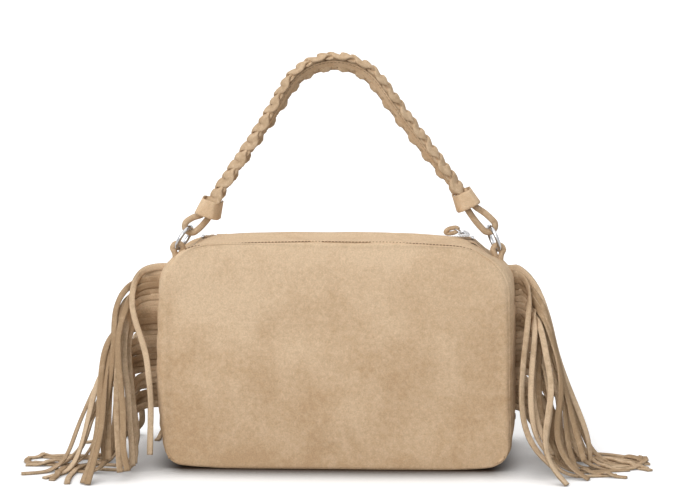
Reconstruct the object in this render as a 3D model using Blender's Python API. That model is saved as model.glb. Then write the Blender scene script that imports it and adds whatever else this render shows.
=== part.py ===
"""Fringed suede handbag: a boxy zipped body, a comb-cut fringe in each side seam, and a plaited
top handle that hangs from a metal ring at each shoulder. Metres, +Z up, +X to the wearer's right
when the front faces -Y. The origin is the middle of the flat base."""

import math

import bmesh
import bpy
from mathutils import Matrix, Vector

# Body: the outline seen from the front, and how deep the bag is
BASE_HALF_WIDTH = 0.1440
SHOULDER_HALF_WIDTH = 0.1430
TOP_HALF_WIDTH = 0.1120
BODY_HEIGHT = 0.1820
SHOULDER_HEIGHT = 0.1550
BASE_CORNER_RADIUS = 0.024
SHOULDER_CORNER_RADIUS = 0.018
TOP_CORNER_RADIUS = 0.010
BASE_HALF_DEPTH = 0.056
TOP_HALF_DEPTH = 0.032
PANEL_BULGE = 0.006
PANEL_RINGS = (0.94, 0.82, 0.62)
PANEL_CROWN_HEIGHT = 0.47
SUEDE = 0.0020
FIT_GAP = 0.0003
SHOULDER_SEAM_X = 0.1310
ARC_STEPS = 5
HALVINGS = 30

# Inside: a stiff board on the base and a cloth lining hung under the zip
BOARD_THICKNESS = 0.0020
BOARD_MARGIN = 0.0040
LINING = 0.0010
LINING_SIDE_INSET = 0.0100
LINING_TOP_INSET = 0.0060

# Zip along the top
ZIP_HALF_OPENING = 0.0045
TAPE_HALF_WIDTH = 0.0120
TAPE_THICKNESS = 0.0010
COIL_INNER_HALF = 0.0008
COIL_WIDTH = 0.0024
COIL_HEIGHT = 0.0022
ZIP_HALF_LENGTH = 0.1086
STOP_LENGTH = 0.0024
SLIDER_LENGTH = 0.0100
SLIDER_REST_X = 0.1032
SLIDER_PLATE = 0.0012
SLIDER_BRIDGE_HALF = 0.0005
BAIL_WIDTH = 0.0016
BAIL_RISE = 0.0026
BAIL_HALF_LENGTH = 0.0031
BAIL_WALL = 0.0008
PULL_RING_RADIUS = 0.0042
PULL_RING_WIRE = 0.0006
PULL_RING_TILT = math.radians(25)
PULL_CORD = 0.0013
PULL_LENGTH = 0.0080
PULL_BEND = (-60, -25, 20, 65, 110)
PULL_ROOM = 0.00045
PULL_UNDER_KNEE = 0.45
PULL_OVER_KNEE = 0.55

# Shoulder tabs and rings: the left ring leans further in than the right one
SIDES = {"left": -1, "right": 1}
TAB_CORD = 0.0022
TAB_STEPS = 12
TAB_SIDES = 10
TAB_X = 0.1310
TAB_CROWN_Z = 0.1752
RING_TILT = {"left": math.radians(31), "right": math.radians(21)}
RING_RADIUS = 0.0104
RING_WIRE = 0.0016
LINK_GAP = 0.0004

# Handle: an arch on two straight legs, plaited over a flat backing band. The whole leans to the left
HANDLE_TOP_X = -0.0023
HANDLE_TOP_Z = 0.3230
HANDLE_BEND_RADIUS = 0.0430
HANDLE_LEG_ANGLE = math.radians(54.5)
HANDLE_LEAN = math.radians(2.2)
PLAIT_HALF_LENGTH = 0.1600
PLAIT_PERIOD = 0.0350
PLAIT_WIDTH = 0.0180
PLAIT_STRANDS = 4
STRAND_WIDTH = 0.0040
STRAND_THICKNESS = 0.0018
STRAND_LIFT = 0.0024
STRAND_EVENING = 0.17
STRAND_STEPS_PER_PERIOD = 12
STRAND_SIDES = 6
BAND_WIDTH = 0.0120
BAND_THICKNESS = 0.0016
BAND_STEPS = 56
ROLL_STATIONS = ((-0.150, 0.0), (-0.095, 6.0), (-0.055, 15.0), (0.0, 34.0), (0.060, 24.0), (0.110, 21.0),
                 (0.152, 0.0))
KEEPER_LENGTH = 0.0140
KEEPER_WALL = 0.0012
KEEPER_FLARE = 0.0050
KEEPER_CORNER = 0.0020
LOOP_CORD = 0.0028
LOOP_ROOM = 0.0004
LOOP_START = 0.0030
LOOP_LEG_STEPS = 3
LOOP_BEND_STEPS = 4

# Fringe: one comb-cut piece caught in the seam down the middle of each side
FRINGE_STRIPS = 24
FRINGE_TOP_Z = 0.1580
STRIP_PITCH = 0.0050
STRIP_WIDTH = 0.0046
STRIP_THICKNESS = 0.0012
HEADER_INSIDE = 0.0050
HEADER_OUTSIDE = 0.0015
SLOT_MARGIN = 0.0020
TOOTH_FACING = 0.8
TOOTH_AREA_SHARE = 0.9
FAN_HALF_ANGLE = math.radians(80)
FAN_ORDER = 7
CREST_OUTER = 0.0400
CREST_INNER = 0.0170
SPLAY_OUTER = 0.0240
SPLAY_INNER = 0.0050
FAN_START = 0.0090
FAN_NECK = 0.0054
FAN_RADIUS = 0.1000
FAN_RADIUS_VARIATION = 0.0060
FAN_RADIUS_TURN = 2.4
CREST_SHOULDER = 0.35
CREST_DROP = 0.9
HEIGHT_DROP = 0.45
FLOOR_BEND = 0.0120
FLOOR_BEND_SHARE = 0.5
FLOOR_CURVE = (0.35, 0.32)
PILE_STEP = 0.00026
STRIP_FLOOR_GAP = 0.0003

# Finishes: colour, roughness, metallic
FINISHES = {
    "suede": ((0.62, 0.44, 0.29), 0.95, 0.0),
    "lining": ((0.45, 0.36, 0.27), 0.8, 0.0),
    "board": ((0.20, 0.17, 0.14), 0.8, 0.0),
    "zip_tape": ((0.50, 0.38, 0.27), 0.85, 0.0),
    "zip_coil": ((0.45, 0.34, 0.24), 0.5, 0.0),
    "polished_metal": ((0.80, 0.80, 0.80), 0.2, 1.0),
}

# Tolerances of lengths that should be equal
SAME_POINT = 1e-6
SAME_HEIGHT = 1e-5


def clear_scene():
    for old in list(bpy.data.objects):
        bpy.data.objects.remove(old, do_unlink=True)


def material(name):
    colour, roughness, metallic = FINISHES[name]
    made = bpy.data.materials.new(name)
    made.use_nodes = True
    shader = made.node_tree.nodes["Principled BSDF"]
    shader.inputs["Base Color"].default_value = (*colour, 1.0)
    shader.inputs["Roughness"].default_value = roughness
    shader.inputs["Metallic"].default_value = metallic
    return made


def add_object(name, data, finish):
    data.materials.append(finish)
    made = bpy.data.objects.new(name, data)
    bpy.context.scene.collection.objects.link(made)
    return made


def add_mesh(name, bm, finish, smooth_angle=40):
    """Turns a bmesh into an object, smooth across every edge flatter than the angle."""
    mesh = bpy.data.meshes.new(name)
    bm.to_mesh(mesh)
    bm.free()
    mesh.shade_smooth()
    mesh.set_sharp_from_angle(angle=math.radians(smooth_angle))
    return add_object(name, mesh, finish)


def solidify(made, thickness):
    """Gives a sheet its wall, inwards from its outer face."""
    wall = made.modifiers.new("wall", "SOLIDIFY")
    wall.thickness = thickness
    wall.offset = -1.0
    wall.use_even_offset = True
    return made


def rounded_outline(corners):
    """Points round a closed polygon with rounded corners, each given as (x, z, radius)."""
    points = []
    for index, (x, z, radius) in enumerate(corners):
        corner = Vector((x, z))
        before = Vector(corners[index - 1][:2]) - corner
        after = Vector(corners[(index + 1) % len(corners)][:2]) - corner
        half = before.angle(after) / 2
        bisector = (before.normalized() + after.normalized()).normalized()
        centre = corner + bisector * radius / math.sin(half)
        start = corner + before.normalized() * radius / math.tan(half) - centre
        turn = math.pi - 2 * half
        for step in range(ARC_STEPS + 1):
            spoke = start.copy()
            spoke.rotate(Matrix.Rotation(turn * step / ARC_STEPS, 2))
            points.append(centre + spoke)
    return points


def body_corners():
    right = ((BASE_HALF_WIDTH, 0.0, BASE_CORNER_RADIUS),
             (SHOULDER_HALF_WIDTH, SHOULDER_HEIGHT, SHOULDER_CORNER_RADIUS),
             (TOP_HALF_WIDTH, BODY_HEIGHT, TOP_CORNER_RADIUS))
    left = tuple((-x, z, radius) for x, z, radius in reversed(right))
    return right + left


def lining_corners():
    floor = SUEDE + BOARD_THICKNESS + 3 * FIT_GAP
    return tuple((x - math.copysign(LINING_SIDE_INSET, x), floor if z == 0 else z - LINING_TOP_INSET, radius)
                 for x, z, radius in body_corners())


def half_depth(z):
    """Half the bag's depth at a height: it narrows evenly from the base to the top."""
    return BASE_HALF_DEPTH + (TOP_HALF_DEPTH - BASE_HALF_DEPTH) * z / BODY_HEIGHT


def gusset_half(z):
    """Where the gusset's edge butts against the inside of a panel."""
    return half_depth(z) - SUEDE - FIT_GAP


def chain_between(outline, start, end):
    """The run of the outline from one arc length to another, anticlockwise from the base's middle."""
    loop = [Vector((0.0, outline[0].y))] + outline + [Vector((0.0, outline[0].y))]
    chain = []
    travelled = 0.0
    for a, b in zip(loop, loop[1:]):
        length = (b - a).length
        if length < SAME_POINT:
            continue
        low = (start - travelled) / length
        high = (end - travelled) / length
        if low < 1 and high > 0:
            if not chain:
                chain.append(a.lerp(b, max(low, 0.0)))
            chain.append(a.lerp(b, min(high, 1.0)))
        travelled += length
    return chain


def arc_length_to(outline, reached):
    """How far round the outline, from the base's middle, a test of the point first holds."""
    loop = [Vector((0.0, outline[0].y))] + outline
    travelled = 0.0
    for a, b in zip(loop, loop[1:]):
        if reached(b):
            low, high = 0.0, 1.0
            for _ in range(HALVINGS):
                middle = (low + high) / 2
                low, high = (low, middle) if reached(a.lerp(b, middle)) else (middle, high)
            return travelled + (b - a).length * high
        travelled += (b - a).length
    return travelled


def outline_length(outline):
    loop = [Vector((0.0, outline[0].y))] + outline + [Vector((0.0, outline[0].y))]
    return sum((b - a).length for a, b in zip(loop, loop[1:]))


def side_x(outline, z):
    """The outline's half width at a height up its right-hand side."""
    for a, b in zip(outline, outline[1:]):
        if a.x > 0 and b.y > a.y and a.y <= z <= b.y:
            return a.x + (b.x - a.x) * (z - a.y) / (b.y - a.y)
    return BASE_HALF_WIDTH


def inset_chain(chain, depth):
    """A run of the outline moved inwards."""
    moved = []
    for index, point in enumerate(chain):
        ahead = chain[min(index + 1, len(chain) - 1)]
        behind = chain[max(index - 1, 0)]
        along = (ahead - behind).normalized()
        moved.append(point + Vector((-along.y, along.x)) * depth)
    return moved


def gusset_band(name, chain, front_edge, back_edge, thickness, finish):
    """A strip that follows the outline, between two edges given as Y against height."""
    bm = bmesh.new()
    verts = [bm.verts.new((p.x, front_edge(p.y), p.y)) for p in chain]
    edges = [bm.edges.new(pair) for pair in zip(verts, verts[1:])]
    made = bmesh.ops.extrude_edge_only(bm, edges=edges)["geom"]
    for item in made:
        if isinstance(item, bmesh.types.BMVert):
            item.co.y = back_edge(item.co.z)
    bm.normal_update()
    middle = Vector((0.0, 0.0, BODY_HEIGHT / 2))
    if sum(face.normal.dot(face.calc_center_median() - middle) * face.calc_area() for face in bm.faces) < 0:
        bmesh.ops.reverse_faces(bm, faces=bm.faces)
    return solidify(add_mesh(name, bm, finish), thickness)


def body_panel(name, outline, side, finish):
    """The front (side -1) or back (side 1) panel, crowned towards its middle."""
    bm = bmesh.new()
    verts = [bm.verts.new((p.x, 0.0, p.y)) for p in outline]
    edges = [bm.edges.new((a, b)) for a, b in zip(verts, verts[1:] + verts[:1])]
    middle = Vector((0.0, 0.0, BODY_HEIGHT * PANEL_CROWN_HEIGHT))
    crowns = {vert: 0.0 for vert in verts}
    size = 1.0
    for share in PANEL_RINGS:
        ring = bmesh.ops.extrude_edge_only(bm, edges=edges)["geom"]
        edges = [item for item in ring if isinstance(item, bmesh.types.BMEdge)]
        inner = [item for item in ring if isinstance(item, bmesh.types.BMVert)]
        bmesh.ops.scale(bm, verts=inner, vec=Vector((share / size,) * 3), space=Matrix.Translation(-middle))
        crowns.update({vert: PANEL_BULGE * (1 - share ** 2) / (1 - PANEL_RINGS[-1] ** 2) for vert in inner})
        size = share
    bmesh.ops.contextual_create(bm, geom=edges)
    for vert, crown in crowns.items():
        vert.co.y = side * (half_depth(vert.co.z) + crown)
    bmesh.ops.recalc_face_normals(bm, faces=bm.faces)
    bm.normal_update()
    if sum(face.normal.y * face.calc_area() for face in bm.faces) * side < 0:
        bmesh.ops.reverse_faces(bm, faces=bm.faces)
    return solidify(add_mesh(name, bm, finish), SUEDE)


def box(name, low, high, finish):
    bm = bmesh.new()
    size = [b - a for a, b in zip(low, high)]
    middle = [(a + b) / 2 for a, b in zip(low, high)]
    bmesh.ops.create_cube(bm, size=1.0, matrix=Matrix.Translation(middle) @ Matrix.Diagonal((*size, 1.0)))
    return add_mesh(name, bm, finish)


def make_shell(outline, suede):
    """The panels, base and side gussets, with the seam down each side left open for the fringe."""
    total = outline_length(outline)
    base_end = arc_length_to(outline, lambda p: p.x >= BASE_HALF_WIDTH - BASE_CORNER_RADIUS)
    shoulder = arc_length_to(outline, lambda p: p.y > SHOULDER_HEIGHT and p.x <= SHOULDER_SEAM_X)
    slot_low = fringe_bottom_z() - SLOT_MARGIN
    slot_high = FRINGE_TOP_Z + SLOT_MARGIN
    header_low = arc_length_to(outline, lambda p: p.y >= slot_low)
    header_high = arc_length_to(outline, lambda p: p.y >= slot_high)
    seam = FIT_GAP / 2
    slot = STRIP_THICKNESS / 2 + FIT_GAP

    def middle_edge(z):
        in_slot = slot_low - SAME_HEIGHT < z < slot_high + SAME_HEIGHT
        return slot if in_slot else seam

    body_panel("front_panel", outline, -1, suede)
    body_panel("back_panel", outline, 1, suede)
    half_base = chain_between(outline, 0.0, base_end - seam)
    base = [Vector((-p.x, p.y)) for p in reversed(half_base[1:])] + half_base
    gusset_band("base_panel", base, lambda z: -gusset_half(z), gusset_half, SUEDE, suede)
    places = (base_end + seam, header_low - seam, header_low, header_high, header_high + seam, shoulder - seam)
    right = []
    for start, end in zip(places, places[1:]):
        run = chain_between(outline, start, end)
        right += run if not right else run[1:]
    left = [Vector((-p.x, p.y)) for p in reversed(right)]
    for side, chain in (("right", right), ("left", left)):
        gusset_band(f"side_gusset_front_{side}", chain, lambda z: -gusset_half(z),
                    lambda z: -middle_edge(z), SUEDE, suede)
        gusset_band(f"side_gusset_back_{side}", chain, middle_edge, gusset_half, SUEDE, suede)
    top = chain_between(outline, shoulder + seam, total - shoulder - seam)
    gusset_band("top_strip_front", top, lambda z: -gusset_half(z), lambda z: -ZIP_HALF_OPENING, SUEDE, suede)
    gusset_band("top_strip_back", top, lambda z: ZIP_HALF_OPENING, gusset_half, SUEDE, suede)
    return top


def make_inside(lining, board):
    """The base board, and the lining: a pouch whose mouth opens under the zip."""
    bottom = SUEDE + FIT_GAP
    reach_x = BASE_HALF_WIDTH - BASE_CORNER_RADIUS - BOARD_MARGIN / 2
    reach_y = gusset_half(bottom + BOARD_THICKNESS) - BOARD_MARGIN
    box("base_board", (-reach_x, -reach_y, bottom), (reach_x, reach_y, bottom + BOARD_THICKNESS), board)
    outline = rounded_outline(lining_corners())
    top = BODY_HEIGHT - LINING_TOP_INSET
    reach = TOP_HALF_WIDTH - LINING_SIDE_INSET
    bm = bmesh.new()

    def wall_y(z):
        return gusset_half(z) - FIT_GAP

    verts = [bm.verts.new((p.x, -wall_y(p.y), p.y)) for p in outline]
    front = bm.faces.new(verts)
    made = bmesh.ops.extrude_face_region(bm, geom=[front])["geom"]
    for item in made:
        if isinstance(item, bmesh.types.BMVert):
            item.co.y = wall_y(item.co.z)
    bmesh.ops.recalc_face_normals(bm, faces=bm.faces)
    mouth = [face for face in bm.faces
             if all(abs(v.co.z - top) < SAME_HEIGHT and abs(v.co.x) < reach for v in face.verts)]
    bmesh.ops.delete(bm, geom=mouth, context="FACES")
    solidify(add_mesh("lining", bm, lining), LINING)


def extend(bm, face, points):
    """Extrudes one face to a new cross-section, and returns the face at its end."""
    end = bmesh.ops.extrude_discrete_faces(bm, faces=[face])["faces"][0]
    for vert, point in zip(end.verts, points):
        vert.co = point
    return end


def sweep(bm, rings):
    """A closed solid through a row of rings of points, made by extruding its end face along them."""
    start = bm.faces.new([bm.verts.new(point) for point in rings[0]])
    made = bmesh.ops.extrude_face_region(bm, geom=[start])["geom"]
    face = next(item for item in made if isinstance(item, bmesh.types.BMFace))
    for vert, point in zip(face.verts, rings[1]):
        vert.co = point
    for points in rings[2:]:
        face = extend(bm, face, points)
    return face


def add_sweep(name, rings, finish, smooth_angle=50):
    bm = bmesh.new()
    sweep(bm, rings)
    bmesh.ops.recalc_face_normals(bm, faces=bm.faces)
    return add_mesh(name, bm, finish, smooth_angle)


def smooth_route(points, per_span):
    """A smooth curve through the route's own points."""
    points = [Vector(p) for p in points]
    ends = [points[0] * 2 - points[1]] + points + [points[-1] * 2 - points[-2]]
    route = []
    for a, b, c, d in zip(ends, ends[1:], ends[2:], ends[3:]):
        for step in range(per_span):
            t = step / per_span
            route.append(0.5 * (2 * b + (c - a) * t + (2 * a - 5 * b + 4 * c - d) * t * t
                                + (3 * b - a - 3 * c + d) * t ** 3))
    route.append(points[-1])
    return route


def cord(name, points, radius, finish):
    """A round cord along an open route, with capped ends."""
    data = bpy.data.curves.new(name, "CURVE")
    data.dimensions = "3D"
    data.bevel_depth = radius
    data.bevel_resolution = 2
    data.use_fill_caps = True
    spline = data.splines.new("POLY")
    spline.points.add(len(points) - 1)
    for target, point in zip(spline.points, points):
        target.co = (*point, 1.0)
    return add_object(name, data, finish)


def ring(name, centre, radius, wire, across, along, finish, segments=24, sides=8):
    """A wire ring in the plane of two directions."""
    bm = bmesh.new()
    normal = across.cross(along)
    start = [centre + across * (radius + wire * math.cos(2 * math.pi * i / sides))
             + normal * wire * math.sin(2 * math.pi * i / sides) for i in range(sides)]
    verts = [bm.verts.new(point) for point in start]
    edges = [bm.edges.new(pair) for pair in zip(verts, verts[1:] + verts[:1])]
    bmesh.ops.spin(bm, geom=edges, cent=centre, axis=normal, angle=2 * math.pi, steps=segments, use_merge=True)
    bmesh.ops.remove_doubles(bm, verts=bm.verts, dist=SAME_POINT)
    bmesh.ops.recalc_face_normals(bm, faces=bm.faces)
    return add_mesh(name, bm, finish)


def pivot(name, place):
    empty = bpy.data.objects.new(name, None)
    empty.location = place
    bpy.context.scene.collection.objects.link(empty)
    return empty


def hang_on(parent, *pieces):
    """Parents pieces to a pivot without moving them."""
    for piece in pieces:
        piece.parent = parent
        piece.location = -parent.location


def make_zip(top, tape, coil, metal, suede):
    """Two tapes with a coil each, stops at both ends, and the slider with its ring and suede pull."""
    seam = SUEDE + FIT_GAP
    tape_chain = inset_chain(top, seam)
    tape_top = BODY_HEIGHT - seam
    coil_bottom = tape_top + FIT_GAP
    coil_top = coil_bottom + COIL_HEIGHT
    for side, sign in (("front", -1), ("back", 1)):
        near, far = sorted((sign * COIL_INNER_HALF, sign * TAPE_HALF_WIDTH))
        gusset_band(f"zip_tape_{side}", tape_chain, lambda z, y=near: y, lambda z, y=far: y,
                    TAPE_THICKNESS, tape)
        low, high = sorted((sign * COIL_INNER_HALF, sign * (COIL_INNER_HALF + COIL_WIDTH)))
        box(f"zip_coil_{side}", (-ZIP_HALF_LENGTH, low, coil_bottom), (ZIP_HALF_LENGTH, high, coil_top), coil)
    stop_far = ZIP_HALF_LENGTH + FIT_GAP + STOP_LENGTH
    stop_half = COIL_INNER_HALF + COIL_WIDTH + FIT_GAP
    for side, sign in SIDES.items():
        low, high = sorted((sign * (ZIP_HALF_LENGTH + FIT_GAP), sign * stop_far))
        box(f"zip_stop_{side}", (low, -stop_half, coil_bottom), (high, stop_half, coil_top), metal)
    slider = make_slider(coil_top + FIT_GAP, tape_top - TAPE_THICKNESS - FIT_GAP, metal)
    hinge = Vector((SLIDER_REST_X, 0.0, coil_top + FIT_GAP + SLIDER_PLATE + FIT_GAP + PULL_RING_WIRE))
    tilt = Vector((-math.cos(PULL_RING_TILT), 0.0, math.sin(PULL_RING_TILT)))
    pull_ring = ring("zip_pull_ring", hinge + tilt * PULL_RING_RADIUS, PULL_RING_RADIUS, PULL_RING_WIRE,
                     -tilt, Vector((0, 1, 0)), metal, segments=20, sides=6)
    pull = make_pull(hinge + tilt * 2 * PULL_RING_RADIUS, coil_top + FIT_GAP + PULL_CORD, suede)
    slider_pivot = pivot("slider_path", Vector((SLIDER_REST_X, 0.0, coil_top)))
    hang_on(slider_pivot, slider)
    hang_on(pivot("pull_hinge", hinge), pull_ring, pull)


def make_pull(wire, low_z, suede):
    """A suede cord laid double, with the far wire of the pull ring in its bend."""
    reach = PULL_CORD + PULL_RING_WIRE + PULL_ROOM
    end_x = wire.x - PULL_LENGTH
    route = [(end_x, 0, low_z), (wire.x - PULL_LENGTH * PULL_UNDER_KNEE, 0, low_z)]
    for degrees in PULL_BEND:
        angle = math.radians(degrees)
        route.append((wire.x + reach * math.cos(angle), 0, wire.z + reach * math.sin(angle)))
    high_z = low_z + 2 * PULL_CORD + FIT_GAP
    route += [(wire.x - PULL_LENGTH * PULL_OVER_KNEE, 0, (wire.z + reach + high_z) / 2), (end_x, 0, high_z)]
    return cord("zip_pull", smooth_route(route, 3), PULL_CORD, suede)


def make_slider(plate_z, under_z, metal):
    """The slider: a top and a bottom plate joined by a thin bridge, and a bail for the pull ring."""
    half = SLIDER_LENGTH / 2
    width = ZIP_HALF_OPENING - FIT_GAP
    low = under_z - SLIDER_PLATE
    top = plate_z + SLIDER_PLATE
    section = [(-width, low), (width, low), (width, under_z), (SLIDER_BRIDGE_HALF, under_z),
               (SLIDER_BRIDGE_HALF, plate_z), (width, plate_z), (width, top), (-width, top),
               (-width, plate_z), (-SLIDER_BRIDGE_HALF, plate_z), (-SLIDER_BRIDGE_HALF, under_z),
               (-width, under_z)]
    bm = bmesh.new()
    sweep(bm, [[Vector((SLIDER_REST_X + x, y, z)) for y, z in section] for x in (-half, half)])
    bmesh.ops.recalc_face_normals(bm, faces=bm.faces)
    slider = add_mesh("zip_slider", bm, metal, 30)
    inside = BAIL_HALF_LENGTH - BAIL_WALL
    shoulder = BAIL_RISE - 2 * BAIL_WALL
    inner = [(-inside, -BAIL_WALL), (-inside, shoulder), (-inside / 2, BAIL_RISE - BAIL_WALL),
             (inside / 2, BAIL_RISE - BAIL_WALL), (inside, shoulder), (inside, -BAIL_WALL)]
    outer = [(BAIL_HALF_LENGTH, -BAIL_WALL), (BAIL_HALF_LENGTH, BAIL_RISE - BAIL_WALL),
             (BAIL_HALF_LENGTH / 2, BAIL_RISE), (-BAIL_HALF_LENGTH / 2, BAIL_RISE),
             (-BAIL_HALF_LENGTH, BAIL_RISE - BAIL_WALL), (-BAIL_HALF_LENGTH, -BAIL_WALL)]
    bm = bmesh.new()
    sweep(bm, [[Vector((SLIDER_REST_X + x, y, top + z)) for x, z in inner + outer]
               for y in (-BAIL_WIDTH / 2, BAIL_WIDTH / 2)])
    bmesh.ops.recalc_face_normals(bm, faces=bm.faces)
    bail = add_mesh("bail_shape", bm, metal, 30)
    bail.hide_render = True
    bail.display_type = "WIRE"
    join = slider.modifiers.new("bail", "BOOLEAN")
    join.operation = "UNION"
    join.object = bail
    return slider


def shoulder_surface(x):
    """Height of the sloping shoulder at a distance from the middle."""
    slope = (BODY_HEIGHT - SHOULDER_HEIGHT) / (SHOULDER_HALF_WIDTH - TOP_HALF_WIDTH)
    return BODY_HEIGHT - (x - TOP_HALF_WIDTH) * slope


def arch_radius():
    """The tab's arch leaves the ring's wire the same room all round."""
    return TAB_CORD + RING_WIRE + LINK_GAP


def make_tab(side, suede):
    """A rolled suede arch on the shoulder, its feet trimmed to the slope."""
    radius = arch_radius()
    centre_z = TAB_CROWN_Z - radius
    depth = SHOULDER_SEAM_X - TOP_HALF_WIDTH
    points = [Vector((TAB_X + radius, 0, centre_z - depth))]
    for step in range(TAB_STEPS + 1):
        angle = math.pi * step / TAB_STEPS
        points.append(Vector((TAB_X + radius * math.cos(angle), 0, centre_z + radius * math.sin(angle))))
    points.append(Vector((TAB_X - radius, 0, centre_z - depth)))
    rings = []
    for index, point in enumerate(points):
        ahead = points[min(index + 1, len(points) - 1)]
        behind = points[max(index - 1, 0)]
        along = (ahead - behind).normalized()
        across = along.cross(Vector((0, 1, 0)))
        rings.append([point + TAB_CORD * (across * math.cos(2 * math.pi * i / TAB_SIDES)
                                          + Vector((0, 1, 0)) * math.sin(2 * math.pi * i / TAB_SIDES))
                      for i in range(TAB_SIDES)])
    bm = bmesh.new()
    sweep(bm, rings)
    normal = Vector((BODY_HEIGHT - SHOULDER_HEIGHT, 0, SHOULDER_HALF_WIDTH - TOP_HALF_WIDTH)).normalized()
    place = Vector((TAB_X, 0, shoulder_surface(TAB_X))) + normal * FIT_GAP
    cut = bmesh.ops.bisect_plane(bm, geom=bm.verts[:] + bm.edges[:] + bm.faces[:], plane_co=place,
                                 plane_no=normal, clear_inner=True, dist=SAME_POINT)["geom_cut"]
    bmesh.ops.holes_fill(bm, edges=[item for item in cut if isinstance(item, bmesh.types.BMEdge)])
    if SIDES[side] < 0:
        bmesh.ops.scale(bm, verts=bm.verts, vec=(-1, 1, 1))
    bmesh.ops.recalc_face_normals(bm, faces=bm.faces)
    return add_mesh(f"tab_loop_{side}", bm, suede, 50)


def ring_wire_at_tab(side):
    """The middle of the ring's wire where it passes under the tab's crown."""
    return Vector((SIDES[side] * TAB_X, 0, TAB_CROWN_Z - arch_radius()))


def ring_up(side):
    return Vector((-SIDES[side] * math.sin(RING_TILT[side]), 0, math.cos(RING_TILT[side])))


def make_rings(metal):
    for side in SIDES:
        centre = ring_wire_at_tab(side) + ring_up(side) * RING_RADIUS
        made = ring(f"ring_{side}", centre, RING_RADIUS, RING_WIRE, ring_up(side), Vector((0, 1, 0)), metal)
        hang_on(pivot(f"ring_{side}_hinge", Vector((SIDES[side] * TAB_X, 0, TAB_CROWN_Z))), made)


def handle_frame(s):
    """Place, direction and outward normal on the handle's middle line, s from the apex to the right."""
    bend = HANDLE_BEND_RADIUS * HANDLE_LEG_ANGLE
    angle = max(-HANDLE_LEG_ANGLE, min(HANDLE_LEG_ANGLE, s / HANDLE_BEND_RADIUS)) - HANDLE_LEAN
    along = Vector((math.cos(angle), 0, -math.sin(angle)))
    outward = Vector((math.sin(angle), 0, math.cos(angle)))
    place = Vector((HANDLE_TOP_X, 0, HANDLE_TOP_Z - HANDLE_BEND_RADIUS)) + outward * HANDLE_BEND_RADIUS
    if abs(s) > bend:
        place += along * (s - math.copysign(bend, s))
    return place, along, outward


def handle_roll(s):
    """How far the strap is turned about its own length, easing between the stations."""
    for (a, roll_a), (b, roll_b) in zip(ROLL_STATIONS, ROLL_STATIONS[1:]):
        if a <= s <= b:
            ease = (1 - math.cos(math.pi * (s - a) / (b - a))) / 2
            return math.radians(roll_a + (roll_b - roll_a) * ease)
    return 0.0


def strap_axes(s):
    """The strap's place, width direction and outward direction at s, with its roll."""
    place, _, outward = handle_frame(s)
    roll = handle_roll(s)
    depth = Vector((0, 1, 0))
    across = depth * math.cos(roll) - outward * math.sin(roll)
    lift = outward * math.cos(roll) + depth * math.sin(roll)
    return place, across, lift


def strand_place(s, phase):
    """A strand's middle: it sways from edge to edge, and goes over, under and over the other three."""
    turn = 2 * math.pi * s / PLAIT_PERIOD + phase
    sway = (PLAIT_WIDTH - STRAND_WIDTH) / 2 * math.sin(turn)
    place, across, lift = strap_axes(s)
    rise = (STRAND_EVENING * math.cos(turn) - math.cos(3 * turn)) / (1 - STRAND_EVENING)
    return place + across * sway + lift * STRAND_LIFT * rise


def make_strand(number, suede):
    """One of the plait's strands, flat and oval, weaving from edge to edge."""
    phase = 2 * math.pi * (number - 1) / PLAIT_STRANDS
    step = PLAIT_PERIOD / STRAND_STEPS_PER_PERIOD
    reach = PLAIT_HALF_LENGTH - STRAND_WIDTH
    count = round(2 * reach / step)
    rings = []
    for index in range(count + 1):
        s = -reach + 2 * reach * index / count
        here = strand_place(s, phase)
        along = (strand_place(s + step / 4, phase) - strand_place(s - step / 4, phase)).normalized()
        _, _, lift = strap_axes(s)
        across = lift.cross(along).normalized()
        thick = along.cross(across).normalized()
        rings.append([here + across * STRAND_WIDTH / 2 * math.cos(2 * math.pi * i / STRAND_SIDES)
                      + thick * STRAND_THICKNESS / 2 * math.sin(2 * math.pi * i / STRAND_SIDES)
                      for i in range(STRAND_SIDES)])
    return add_sweep(f"plait_strand_{number}", rings, suede)


def plait_half_thickness():
    return STRAND_LIFT + STRAND_THICKNESS / 2


def band_lift():
    return -(plait_half_thickness() + FIT_GAP + BAND_THICKNESS / 2)


def make_band(suede):
    """The flat band that the plait is sewn to, on the inside of the handle."""
    rings = []
    for index in range(BAND_STEPS + 1):
        s = -PLAIT_HALF_LENGTH + 2 * PLAIT_HALF_LENGTH * index / BAND_STEPS
        place, across, lift = strap_axes(s)
        middle = place + lift * band_lift()
        rings.append([middle + across * BAND_WIDTH / 2 * u + lift * BAND_THICKNESS / 2 * v
                      for u, v in ((-1, -1), (1, -1), (1, 1), (-1, 1))])
    return add_sweep("handle_band", rings, suede, 30)


def keeper_ring(s, half_width, outer, inner):
    """Corners of a rounded oblong across the strap, from its outer to its inner side."""
    place, _, outward = handle_frame(s)
    points = []
    for u, v, start in ((1, 1, 0), (-1, 1, 90), (-1, -1, 180), (1, -1, 270)):
        centre_y = u * (half_width - KEEPER_CORNER)
        centre_n = (outer - KEEPER_CORNER) if v > 0 else (inner + KEEPER_CORNER)
        for turn in (0, 45, 90):
            angle = math.radians(start + turn)
            points.append(place + Vector((0, 1, 0)) * (centre_y + KEEPER_CORNER * math.cos(angle))
                          + outward * (centre_n + KEEPER_CORNER * math.sin(angle)))
    return points


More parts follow.
